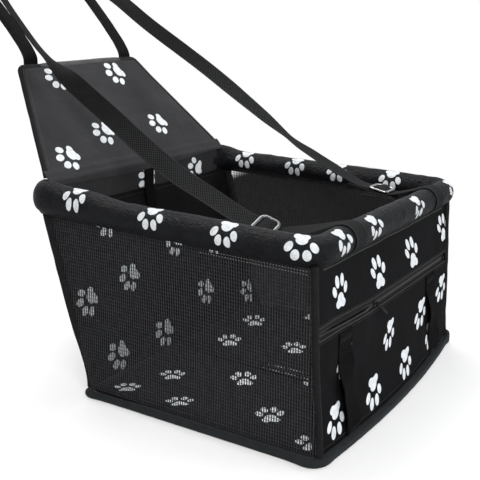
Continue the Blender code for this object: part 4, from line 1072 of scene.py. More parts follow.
# ------------------------------------------------------------------- hardware
def front_axes(ob_verts, x0, h0):
    """Slider-frame points (x, d, h) to the world."""
    v = np.asarray(ob_verts, float)
    return front_at(v[..., 0] + x0, v[..., 1], v[..., 2] + h0)


def loft(name, rings, mat, angle=40):
    rings = np.asarray(rings, float)
    k = rings.shape[1]
    return sweep(name, rings, mat, np.arange(len(rings)) * 0.001, np.arange(k + 1) * 0.001, angle=angle)


def oval_ring(cx, cy, hx, hy, z, n=20, power=0.6):
    a = np.arange(n) * 2 * math.pi / n
    c, s = np.cos(a), np.sin(a)
    return np.stack([cx + np.sign(c) * np.abs(c) ** power * hx, cy + np.sign(s) * np.abs(s) ** power * hy, np.full(n, z)], 1)


# slider: a shield-shaped top plate, a back plate, a wedge between the coils and a bridge
def join(name, parts, mat, angle=40):
    """Several closed bodies in one piece, each given as rings of points."""
    verts, groups, start = [], [], 0
    for rings in parts:
        rings = np.asarray(rings, float)
        n, k = rings.shape[:2]
        q = quads(n, k, False, True)
        caps = [np.arange(k)[None], (np.arange(k)[::-1] + (n - 1) * k)[None]]
        p = rings.reshape(-1, 3)
        volume = sum(np.einsum("ij,ij->", p[f][:, 0], np.cross(p[f][:, i], p[f][:, i + 1])) for f in [q, *caps] for i in range(1, f.shape[1] - 1))
        for f in [q, *caps]:
            groups.append(((f if volume > 0 else f[:, ::-1]) + start, {}))
        verts.append(p)
        start += len(p)
    return add_mesh(name, np.concatenate(verts), groups, mat, angle, closed=False)


def plate_rings(cx, cz, hx, hz, d0, d1, taper=0.0, n=24, edge=0.0003):
    """A rounded plate lying in the zip's plane, from depth d0 to d1; taper narrows its right end."""
    a = np.arange(n) * 2 * math.pi / n
    c, s = np.cos(a), np.sin(a)
    px = np.sign(c) * np.abs(c) ** 0.7
    pz = np.sign(s) * np.abs(s) ** 0.7
    rings = []
    for d, k in ((d0, 1 - edge / hz * 1.6), (d0 + edge, 1.0), (d1 - edge, 1.0), (d1, 1 - edge / hz * 1.6)):
        wz = hz * (1 - taper * (px * 0.5 + 0.5))
        rings.append(np.stack([cx + px * hx * k, np.full(n, d), cz + pz * wz * k], 1))
    return np.array(rings)


def wire_rings(pts, r, k=10, loop_normal=(0, 0, 1.0)):
    pts = np.asarray(pts, float)
    tan = tangents(pts)
    ref = np.tile(np.array(loop_normal, float), (len(pts), 1))
    a = unit(np.cross(tan, ref))
    b = np.cross(tan, a)
    ang = np.arange(k) * 2 * math.pi / k
    return pts[:, None] + r * (np.cos(ang)[None, :, None] * a[:, None] + np.sin(ang)[None, :, None] * b[:, None])


t = np.linspace(0, 1, 17)
bridge = np.stack([-0.0034 + 0.0068 * t, -0.0007 - 0.0026 * np.sin(math.pi * t) ** 0.5, np.zeros_like(t)], 1)
slider_parts = [plate_rings(0, 0, 0.0045, 0.0037, -0.0008, 0.0003, 0.18), plate_rings(0, 0, 0.0044, 0.0036, 0.0026, 0.0036, 0.18), plate_rings(0.0012, 0, 0.0016, 0.0005, 0.0002, 0.0027, 0.0), wire_rings(bridge, 0.00065)]
slider = join("zip_slider_body", [front_axes(r, SLIDER_X, ZIP_H) for r in slider_parts], ENAMEL)
ride(slider, "zip_slider", "zip_metal", ["zip_slider"])
# puller: a ring round the bridge and a waisted tab with a raised rim
ring_a = np.linspace(0, 2 * math.pi, 25)[:-1]
eye_c = np.array([0.0, -0.0031, 0.0])
pull = []
for r_in, wz in ((0.00162, 0.0),):
    pts = np.stack([np.zeros(24), eye_c[1] + 0.00165 * np.cos(ring_a), 0.00165 * np.sin(ring_a)], 1)
rows = []
for z, w in ((-0.0013, 0.0012), (-0.0030, 0.0016), (-0.0060, 0.0015), (-0.0100, 0.0017), (-0.0150, 0.0021), (-0.0190, 0.0024), (-0.0214, 0.0022), (-0.0225, 0.0013)):
    th = 0.00055
    sec = np.array([(-w, -th * 0.4), (-w * 0.9, -th), (-w * 0.55, -th), (-w * 0.45, -th * 0.7), (w * 0.45, -th * 0.7), (w * 0.55, -th), (w * 0.9, -th), (w, -th * 0.4), (w, th * 0.4), (w * 0.9, th), (-w * 0.9, th), (-w, th * 0.4)])
    rows.append(np.stack([sec[:, 0], eye_c[1] + sec[:, 1], np.full(12, z)], 1))
tab = np.array(rows)
out_by, hang = math.radians(15), math.radians(46)
fore = tab[..., 1] - eye_c[1]
tab = np.stack([tab[..., 0], eye_c[1] + fore * math.cos(out_by) + tab[..., 2] * math.sin(out_by), tab[..., 2] * math.cos(out_by) - fore * math.sin(out_by)], -1)
tab = np.stack([tab[..., 0] * math.cos(hang) - tab[..., 2] * math.sin(hang), tab[..., 1], tab[..., 2] * math.cos(hang) + tab[..., 0] * math.sin(hang)], -1)
side = []
for x0 in (-0.00125, 0.00125):
    arc_t = np.linspace(-0.5 * math.pi, 1.5 * math.pi, 21)
    side.append(wire_rings(np.stack([np.full(21, x0), eye_c[1] + 0.00160 * np.cos(arc_t), 0.00160 * np.sin(arc_t)], 1), 0.00040, 8, (1.0, 0, 0)))
puller = join("zip_puller_tab", [front_axes(r, SLIDER_X, ZIP_H) for r in [tab, *side]], ENAMEL)
ride(puller, "zip_puller", "zip_metal", ["zip_puller"])

# webbing strips down the pocket, sewn at both ends and loose between
strip_profile = [(0.0008, 0.0), (0.004, 0.0010), (0.010, 0.0035), (0.022, 0.0075), (0.038, 0.0065), (0.052, 0.0080), (0.066, 0.0060), (0.078, 0.0025), (0.086, 0.0), (0.1070, 0.0)]
full_profile = strip_profile
for side, s in (("left", -1), ("right", 1)):
    lift = LIP if s < 0 else 0.0
    if s < 0:
        strip_profile = [(h, d * (1 - 0.45 * math.sin(math.pi * min(h / 0.086, 1.0)))) for h, d in strip_profile]
    else:
        strip_profile = full_profile
    pts = catmull([(s * STRIP_X, -(GAP + 0.0009) - d * (1.0 if s < 0 else 0.45) - lift * float(ramp(h, 0.060, 0.108)), h + (LIP_UP + 0.0025) * (s < 0) * float(ramp(h, 0.07, 0.108))) for h, d in strip_profile], 0.0025)
    path = front_at(pts[:, 0], pts[:, 1], pts[:, 2])
    if s < 0:
        roll = 0.10 * ramp(pts[:, 2], 0.060, 0.074) * (1 - ramp(pts[:, 2], 0.078, 0.086)) - 0.19 * ramp(pts[:, 2], 0.012, 0.038) * (1 - ramp(pts[:, 2], 0.046, 0.066))
    else:
        roll = 0.22 * np.sin(pts[:, 2] * 60 + s) * np.sin(math.pi * np.clip(pts[:, 2] / 0.107, 0, 1))
    across = np.stack([np.cos(roll), -np.sin(roll), 0 * roll], 1)
    ob = ribbon(f"pocket_webbing_{side}", path, across, STRIP_W, WEB_T, WEBBING, cup=0.0)
    ride(ob, "root", "webbing", [f"pocket_strap_{side}"], KEEP_FRONT)
    for k, h in enumerate((0.0016, 0.0040, 0.0985, 0.1010)):
        x = np.linspace(s * STRIP_X - 0.0140, s * STRIP_X + 0.0140, 30)
        d = -(GAP + 0.0009) - (1.0 if s < 0 else 0.45) * float(np.interp(h, [q[0] for q in strip_profile], [q[1] for q in strip_profile])) - lift * float(ramp(h, 0.060, 0.108)) - WEB_T * 0.45
        p = front_at(x, d, h + (LIP_UP + 0.0025) * (s < 0) * float(ramp(h, 0.07, 0.108)))
        ride(stitches(f"pocket_webbing_stitches_{side}_{k}", p, np.tile([0, -1.0, 0], (len(p), 1)), THREAD), "root", "webbing", keep=KEEP_FRONT)

# ------------------------------------------------------------------------ rim
ct, st = math.cos(rim_tilt), math.sin(rim_tilt)


def rim_at(p):
    """Rim-frame points to the world."""
    p = np.asarray(p, float)
    return np.stack([p[..., 0], RIM_FRONT[0] + p[..., 1] * ct - p[..., 2] * st, RIM_FRONT[1] + p[..., 1] * st + p[..., 2] * ct], -1)


def rim_path(step):
    x, b, d = RIM_HALF_X, ELBOW_BEND, rim_depth
    pts = [(-0.1660, d)]
    for cx, cy, a0, a1 in ((-x + b, d - b, 90, 180), (-x + b, b, 180, 270), (x - b, b, 270, 360), (x - b, d - b, 0, 90)):
        pts += [(cx + b * math.cos(math.radians(lerp(a0, a1, i / 14))), cy + b * math.sin(math.radians(lerp(a0, a1, i / 14)))) for i in range(15)]
    pts.append((0.1660, d))
    return resample(np.array(pts), step)


def rim_cover():
    step = 0.0030
    c = rim_path(step)
    n = len(c)
    tan = unit(np.gradient(c, axis=0))
    out = np.stack([tan[:, 1], -tan[:, 0]], 1)              # right of the way the path runs: out of the seat
    s = length_along(c)
    su = length_along(c + out * 0.0110)                      # the cloth is cut to the outside of the bends
    total = s[-1]
    corner = [0.0080 + 0.0204, 0.0, 0.0, total - 0.0284]
    # arc length at the middle of each bend
    for k, (cx, cy) in enumerate(((-1, 1), (-1, 0), (1, 0), (1, 1))):
        tx, ty = cx * (RIM_HALF_X - 0.0076), rim_depth - 0.0076 if cy else 0.0076
        corner[k] = s[np.argmin(np.hypot(c[:, 0] - tx, c[:, 1] - ty))]
    phi = np.radians(np.linspace(-146, 146, 37))
    m = len(phi)
    ring_n, ring_z, ring_v = SLEEVE_R * np.sin(phi), SLEEVE_R * np.cos(phi), SLEEVE_R * phi
    bend = sum(bump(s, q, 0.020) for q in corner)
    back = bump(s, corner[0], 0.026) + bump(s, corner[3], 0.026)
    sd, pd = s[:, None], phi[None]
    inner = ramp(-np.sin(pd), -0.2, 1.0)
    soft = 0.00055 * noise(sd / 0.034, pd * 1.1, 1.0) + 0.00042 * noise(sd / 0.011 + pd * 1.2, pd * 1.8, 5.0) + 0.00022 * noise(sd / 0.0065 - pd, pd * 2.6, 15.0)
    crease = 0.00022 * np.sin(2 * math.pi * (sd / 0.0105 + 0.25 * noise(sd / 0.02, pd, 9.0))) * (0.15 + 0.25 * noise(sd / 0.05, pd * 0.6, 12.0))
    folds = -0.0010 * bend[:, None] * inner * (0.5 + 0.5 * np.cos(2 * math.pi * (sd - corner[0]) / 0.0075 + 0.6 * noise(sd / 0.01, pd, 3.0)))
    nick = -0.0011 * bump(sd, corner[1] + 0.0035, 0.0013) * ramp(pd, -1.2, -0.6) * (1 - ramp(pd, 1.9, 2.4))
    nick = nick - 0.0007 * bump(sd, corner[2] - 0.0045, 0.0014) * ramp(pd, -1.2, -0.6) * (1 - ramp(pd, 1.9, 2.4))
    under_strap = np.zeros(n)
    near_front = bump(c[:, 1], 0.0, 0.012)
    for x in (-STRAP_X, STRAP_X):
        under_strap = np.maximum(under_strap, near_front * (1 - ramp(np.abs(c[:, 0] - x), 0.0125, 0.0185)))
    press = -0.0005 * under_strap[:, None]
    dr = (soft + crease) * (1 - under_strap[:, None]) + folds + nick + press
    low = 1 - ramp(np.abs(pd), 2.0, 2.5)
    rad = 1 + dr * low / SLEEVE_R
    nn = ring_n[None] * rad * (1 - 0.17 * back[:, None] * (ring_n[None] > 0))
    zz = ring_z[None] * rad * (1 + 0.42 * back[:, None] * (ring_z[None] > 0))
    # the cover is pulled up towards the flap along the left side
    pull = 0.0060 * ramp(c[:, 1] + RIM_FRONT[0], 0.085, 0.150) * (c[:, 0] < 0) * (1 - ramp(c[:, 1], rim_depth - 0.030, rim_depth - 0.008))
    zz = zz + pull[:, None] * ramp(np.cos(pd), -0.9, 0.9)
    # the sleeve's sewn edge below the tube, thicker over the double front wall
    front = ramp(np.abs(c[:, 0]), RIM_HALF_X + 0.0001, RIM_HALF_X - 0.018) * (1 - ramp(c[:, 1], 0.004, 0.024))
    fo = np.full(n, 0.0017)
    fi = 0.0017 + 0.0046 * front
    wave = 0.0004 * noise(s / 0.022, 2.0, 2.0) + 0.0002 * noise(s / 0.006, 1.0, 7.0)
    one = np.ones(n)
    drop = lerp(0.35, 1.0, front)
    low_z = lambda z: -0.0156 + (z + 0.0156) * drop
    tail = [(0.0056 * one, -0.0156 * one), (0.0030 * one + wave, -0.0174 * one), (fo + wave * 0.6, -0.0190 * one), (fo + wave * 0.6, -0.0211 * one + wave), (fo * 0.6 + wave * 0.6, -0.0218 * one + wave), (-fi * 0.6, -0.0218 * one + wave), (-fi, -0.0211 * one + wave), (-fi, -0.0188 * one), (-np.maximum(fi * 1.15, 0.0030), -0.0174 * one), (-np.maximum(fi * 1.25, 0.0056), -0.0156 * one)]
    nn = np.concatenate([nn] + [t[0][:, None] for t in tail], 1)
    zz = np.concatenate([zz] + [low_z(t[1])[:, None] for t in tail], 1)
    vv = np.concatenate([ring_v, ring_v[-1] + np.array([0.0036, 0.0068, 0.0088, 0.0109, 0.0120, 0.0140, 0.0151, 0.0173, 0.0187, 0.0220]), [ring_v[-1] + 0.026]])
    local = np.stack([c[:, None, 0] + out[:, None, 0] * nn, c[:, None, 1] + out[:, None, 1] * nn, zz], -1)
    side_s = lambda y, sign: float(su[(c[:, 0] * sign > 0.186)][np.argmin(np.abs(c[(c[:, 0] * sign > 0.186)][:, 1] - (y - RIM_FRONT[0])))])
    front_mask = c[:, 1] < 0.010
    front_s = lambda x: float(su[front_mask][np.argmin(np.abs(c[front_mask][:, 0] - x))])
    v = lambda deg: SLEEVE_R * math.radians(deg)
    paws = []
    for y, deg, turn in ((0.1540, 13, 90), (0.0452, 19, 86), (-0.0493, 27, 94), (-0.1297, 27, 90)):
        paws.append((side_s(y, -1), v(deg), turn, 0.86))
    for x, deg, turn in ((-0.163, 30, 84), (-0.082, 32, 80), (0.050, 37, 82), (0.180, 28, 86)):
        paws.append((front_s(x), v(deg), turn, 0.86))
    for y, deg in ((0.170, -27), (0.083, -27), (0.013, -27), (-0.068, -27)):
        paws.append((side_s(y, 1), v(deg), -90, 0.86))
    ob = sweep("rim_sleeve_cover", rim_at(local), RIM_CLOTH, su, vv, paws=paws, angle=70)
    # sewn line just above the sleeve's edge, outside and inside, and the corded seam on the front
    line_o = rim_at(np.stack([c[:, 0] + out[:, 0] * (fo + wave * 0.6), c[:, 1] + out[:, 1] * (fo + wave * 0.6), low_z(-0.0199 * one)], 1))
    line_i = rim_at(np.stack([c[:, 0] - out[:, 0] * fi, c[:, 1] - out[:, 1] * fi, low_z(-0.0199 * one)], 1))
    normal = np.stack([out[:, 0], out[:, 1], 0 * s], 1)
    cord = rim_at(np.stack([c[:, 0] + out[:, 0] * (fo + 0.0001), c[:, 1] + out[:, 1] * (fo + 0.0001), -0.0213 * one + wave * 1.4], 1))
    return ob, line_o, line_i, normal, cord, c, front


rim_piece, line_o, line_i, rim_normal, seam_cord, rim_c, on_front = rim_cover()
ride(rim_piece, "rim", "oxford_cloth", ["rim_sleeve_front", "rim_sleeve_left", "rim_sleeve_right"])
keep_o = slice(16, len(line_o) - 16)
ride(stitches("rim_stitches_outside", line_o[keep_o], rim_normal[keep_o], THREAD), "rim", "oxford_cloth")
ride(stitches("rim_stitches_inside", line_i[keep_o], -rim_normal[keep_o], PALE_THREAD, width=0.00045), "rim", "oxford_cloth")
sel = on_front > 0.02
path = resample(seam_cord[sel], 0.003)
ang = np.arange(8) * 2 * math.pi / 8
tan = tangents(path)
up = np.tile([0, 0, 1.0], (len(path), 1))
sideways = unit(np.cross(tan, up))
rings = path[:, None] + 0.00070 * (np.cos(ang)[None, :, None] * sideways[:, None] + np.sin(ang)[None, :, None] * up[:, None])
ride(sweep("rim_seam_cord", rings, PIPING, length_along(path), np.arange(9) * 0.0005), "rim", "oxford_cloth")


# back sleeve: flat on the inside, round behind
def back_sleeve():
    top_z, bot_z, depth, flat = 0.2560, 0.2197, 0.0300, 0.0120
    mid_z, half = (top_z + bot_z) / 2, (top_z - bot_z) / 2
    y0 = band_face
    up = [(y0, mid_z + half * k / 6) for k in range(0, 6)] + [(y0 + 0.0007, top_z - 0.0010), (y0 + 0.0022, top_z)]
    down = [(y0, mid_z - half * k / 6) for k in range(1, 6)] + [(y0 + 0.0007, bot_z + 0.0010), (y0 + 0.0022, bot_z)]
    round_t = [(y0 + flat + (depth - flat) * math.sin(math.radians(a)), mid_z + half * math.cos(math.radians(a))) for a in range(0, 91, 9)]
    round_b = [(y, 2 * mid_z - z) for y, z in round_t[:-1]]
    a = np.array(up + round_t)                       # from the middle of the face, up and over to the back
    b = np.array(down + round_b)                     # from just below the middle, down and under
    va = mid_z + length_along(a)
    vb = mid_z - (half / 6 + length_along(b))
    sec = np.vstack([a, b[::-1]])
    vs = np.concatenate([va, vb[::-1]])
    xs = np.linspace(-0.1740, 0.1740, 96)
    behind = ramp(sec[:, 0], y0 + 0.004, y0 + 0.020)
    wob = 0.0007 * noise(xs[:, None] * 30, vs[None] * 70, 2.0) * behind[None] + 0.00035 * noise(xs[:, None] * 90, vs[None] * 50, 8.0) * (0.35 + behind[None])
    end = 1 - 0.10 * np.exp(-(0.1740 - np.abs(xs)) / 0.006)
    cy, cz = y0 + 0.015, mid_z
    py = cy + (sec[None, :, 0] - cy) * (1 + wob / 0.015) * np.where(sec[None, :, 0] > cy, end[:, None], 1.0)
    pz = cz + (sec[None, :, 1] - cz) * (1 + wob / 0.018) * end[:, None]
    rings = np.stack([np.broadcast_to(xs[:, None], py.shape), py, pz], -1)
    # unwrap: the strip that closes the ring lies at the back
    k = len(va)
    order = np.concatenate([np.arange(k, len(sec)), np.arange(k)])
    rings = rings[:, order]
    v = vs[order]
    v = np.append(v, v[-1] + 0.004)
    paws = [(0.124, 0.230, 180, 0.95), (0.0075, 0.2325, 180, 0.95)]
    # the band's cloth is painted lighter, as painted light for the shade it stands in
    return sweep("rim_sleeve_back_cover", rings, BAND_CLOTH_PAINTED_LIGHT, xs, v, paws=paws, angle=50)


back_piece = ride(back_sleeve(), "rim", "oxford_cloth", ["rim_sleeve_back"])
x = np.linspace(-0.170, 0.170, 200)
p = xyz(x, band_face - 0.0001, 0.2218 + 0.0001 * noise(x * 60, 1.0, 1.0))
ride(stitches("back_sleeve_stitches", p, np.tile([0, -1.0, 0], (len(x), 1)), THREAD), "rim", "oxford_cloth")

# ----------------------------------------------------------------------- flap
flap_len = math.hypot(FLAP_TOP[0] - FOLD[0], FLAP_TOP[1] - FOLD[1])
uy, uz = (FLAP_TOP[0] - FOLD[0]) / flap_len, (FLAP_TOP[1] - FOLD[1]) / flap_len
flap_slope = (FLAP_HALF_TOP - FLAP_HALF_BOTTOM) / flap_len


def flap_at(x, s, d):
    """x across, s up the flap from the fold, d out of its front."""
    s = s + 0.0055 * ramp(s, flap_len - 0.035, flap_len) * ramp(x, -0.09, 0.13) - 0.0012 * ramp(s, flap_len - 0.03, flap_len) * (1 - ramp(x, -0.13, -0.04))
    return xyz(x, FOLD[0] + s * uy - d * uz, FOLD[1] + s * uz + d * uy)


def flap_outline(inset, r_top, step=0.003):
    s0, s1 = FLAP_START + inset, flap_len - inset
    side = inset * math.hypot(1, flap_slope)
    hx = lambda s: FLAP_HALF_BOTTOM + flap_slope * s - side
    turn = math.degrees(math.atan2(1, flap_slope))
    d = r_top * math.tan(math.radians(180 - turn) / 2)
    cx, cy = hx(s1) - d, s1 - r_top
    right = [(cx + r_top * math.cos(math.radians(a)), cy + r_top * math.sin(math.radians(a))) for a in np.linspace(turn - 90, 90, 9)]
    pts = [(-hx(s0), s0), (hx(s0), s0)] + right + [(-x, y) for x, y in reversed(right)]
    return resample(np.array(pts), step, closed=True)


S0, S1 = FLAP_START + 0.0020, flap_len - 0.0022


def flap_half(s):
    """Half the cover's width at height s, with its top corners rounded."""
    w = FLAP_HALF_BOTTOM + flap_slope * s - 0.0022
    r = 0.0110
    k = np.clip((s - (S1 - r)) / r, 0, 1)
    return w - r * 0.75 * (1 - np.sqrt(np.clip(1 - k * k, 0, 1)))


def flap_face(front):
    def place(a, s):
        x = a * flap_half(s)
        edge = np.minimum(flap_half(s) * (1 - np.abs(a)), np.minimum(s - S0, S1 - s))
        soft = ramp(edge, 0.004, 0.030)
        w = 0.0007 * noise(x * 12, s * 14, 3.0 if front else 6.0) + 0.0003 * noise(x * 40, s * 36, 4.0) + 0.00025 * noise(x * 12, s * 120, 14.0)
        hem = -0.0005 * bump(edge, 0.0095, 0.0014)
        d = (-0.0005 + (w - 0.0002) * soft + hem) if front else (-0.0047 - (w * 0.6 - 0.0002) * soft - hem)
        return flap_at(x, s, d)
    return place


flap_paws = [(x / 1000, s / 1000, -158, 1.0) for x, s in ((-126.3, 29.2), (-59.6, 149.2), (-37.6, 56.6), (63.8, 150.2), (86.4, 59.0))]
back_flap_paws = [(x / 1000, s / 1000, -158, 1.0) for x, s in ((-110, 40), (-40, 70), (30, 30), (100, 62), (-85, 118), (5, 130), (75, 140))]
for name, front, node, paws in (("flap_front_cloth", True, "flap_front_cover", flap_paws), ("flap_back_cloth", False, "flap_back_cover", back_flap_paws)):
    ob = shell(name, flap_face(front), np.linspace(-1, 1, 96), np.linspace(S0, S1, 44), 0.0008, FLAP_CLOTH, metres=lambda a, s: (a * flap_half(s), s), paws=paws)
    ride(ob, "flap", "flap_cloth", [node])

outline = flap_outline(0.0, 0.0120)
tan2 = tangents(outline, True)
inward = np.stack([-tan2[:, 1], tan2[:, 0]], 1)
sec = np.array([(6.0, -0.5), (5.7, 0.15), (4.0, 0.30), (1.6, 0.25), (0.5, -0.5), (0.0, -2.6), (0.5, -4.7), (1.6, -5.45), (4.0, -5.5), (5.7, -5.35), (6.0, -4.7), (3.6, -4.3), (1.7, -4.1), (1.4, -2.6), (1.7, -1.1), (3.6, -0.9)]) / 1000
s_out = np.arange(len(outline)) * 0.003
wob = 0.00018 * noise(s_out[:, None] / 0.015, np.arange(len(sec))[None] * 0.7, 4.0)
rings = flap_at(outline[:, None, 0] + inward[:, None, 0] * (sec[None, :, 0] + wob), outline[:, None, 1] + inward[:, None, 1] * (sec[None, :, 0] + wob), sec[None, :, 1] + wob)
per = np.append(length_along(sec), length_along(sec)[-1] + 0.0024)
edge_tape = sweep("flap_edge_tape", rings, BINDING, np.append(s_out, len(outline) * 0.003), per, loop=True, angle=50)
ride(edge_tape, "flap", "binding_tape", ["flap_binding"])
for k, (inset, d, sign, mat) in enumerate(((0.0047, 0.00030, 1, FLAP_THREAD), (0.0090, -0.0004, 1, FLAP_THREAD), (0.0047, -0.00550, -1, FLAP_THREAD))):
    ln = flap_outline(inset, 0.0090, 0.0015)
    if sign > 0:
        ln = ln[ln[:, 1] > FLAP_START + inset + 0.0040]
    p = flap_at(ln[:, 0], ln[:, 1], np.full(len(ln), d))
    nrm = np.tile([0.0, -uz * sign, uy * sign], (len(p), 1))
    ride(stitches(f"flap_stitches_{k}", p, nrm, mat, closed=sign < 0), "flap", "flap_cloth")
# turned hem along the top edge, between the straps; its lighter cloth is a painted sheen for the light on the tilted
# hem
a = np.linspace(-0.0850, 0.0850, 90)
k = np.linspace(0, 2 * math.pi, 15)[:-1]
fat = np.sqrt(np.clip(1 - (np.abs(a) / 0.0860) ** 12, 0, 1))
rs = flap_len - 0.0036 + 0.0042 * np.cos(k)[None] * (0.25 + 0.75 * fat[:, None]) + 0.0002 * noise(a * 60, 1.0, 2.0)[:, None]
rd = -0.0004 + 0.00125 * np.sin(k)[None] * (0.3 + 0.7 * fat[:, None]) * (1 + 0.12 * noise(a * 80, 4.0, 2.0)[:, None])
ob = sweep("flap_top_hem", flap_at(a[:, None] + 0 * k[None], rs, rd), HEM_CLOTH_PAINTED_SHEEN, a, np.arange(15) * 0.0011, angle=80)
ride(ob, "flap", "flap_cloth")

# the strip of cloth that hinges the flap to the back sleeve
fold_pts = catmull([(0.2113, 0.2455), (0.2114, 0.2505), (0.2118, 0.2545), (0.2131, 0.2567), (FOLD[0] + 0.0030 * uy - 0.0003 * uz, FOLD[1] + 0.0030 * uz + 0.0003 * uy), (FOLD[0] + 0.0060 * uy - 0.0006 * uz, FOLD[1] + 0.0060 * uz + 0.0006 * uy), (FOLD[0] + 0.0092 * uy - 0.0006 * uz, FOLD[1] + 0.0092 * uz + 0.0006 * uy), (FOLD[0] + 0.0125 * uy - 0.0001 * uz, FOLD[1] + 0.0125 * uz + 0.0001 * uy)], 0.0012)
fold_s = length_along(fold_pts)


def fold_place(a, q):
    q = q + (0.0030 * ramp(-a, 0.3, 1.0) + 0.0075 * ramp(a, 0.1, 1.0)) * (1 - ramp(q, 0.0, 0.0100))
    y, z = np.interp(q, fold_s, fold_pts[:, 0]), np.interp(q, fold_s, fold_pts[:, 1])
    half = lerp(0.1725, 0.1895, ramp(q, 0.0045, 0.0078))
    return xyz(a * half, y - 0.00015 * noise(a * 24, q * 200, 1.0), z)


fold_strip = shell("flap_hinge_cloth", fold_place, np.linspace(-1, 1, 80), np.linspace(0, fold_s[-1], 22), 0.0007, FLAP_CLOTH, metres=lambda a, q: (a * lerp(0.1725, 0.1895, ramp(q, 0.0045, 0.0078)), q - fold_s[-1] + 0.0125), paws=flap_paws)
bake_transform(fold_strip)

# ----------------------------------------------------------- suspension straps
u_f = np.array([0, uy, uz])
n_f = np.array([0, -uz, uy])
WRAP_R = SLEEVE_R + 0.0006 + WEB_T / 2
X1 = np.array([1.0, 0, 0])


def v3(y, z, x=0.0):
    return np.array([x, y, z])


def at_x(p, x):
    q = np.array(p, float)
    q[0] = x
    return q


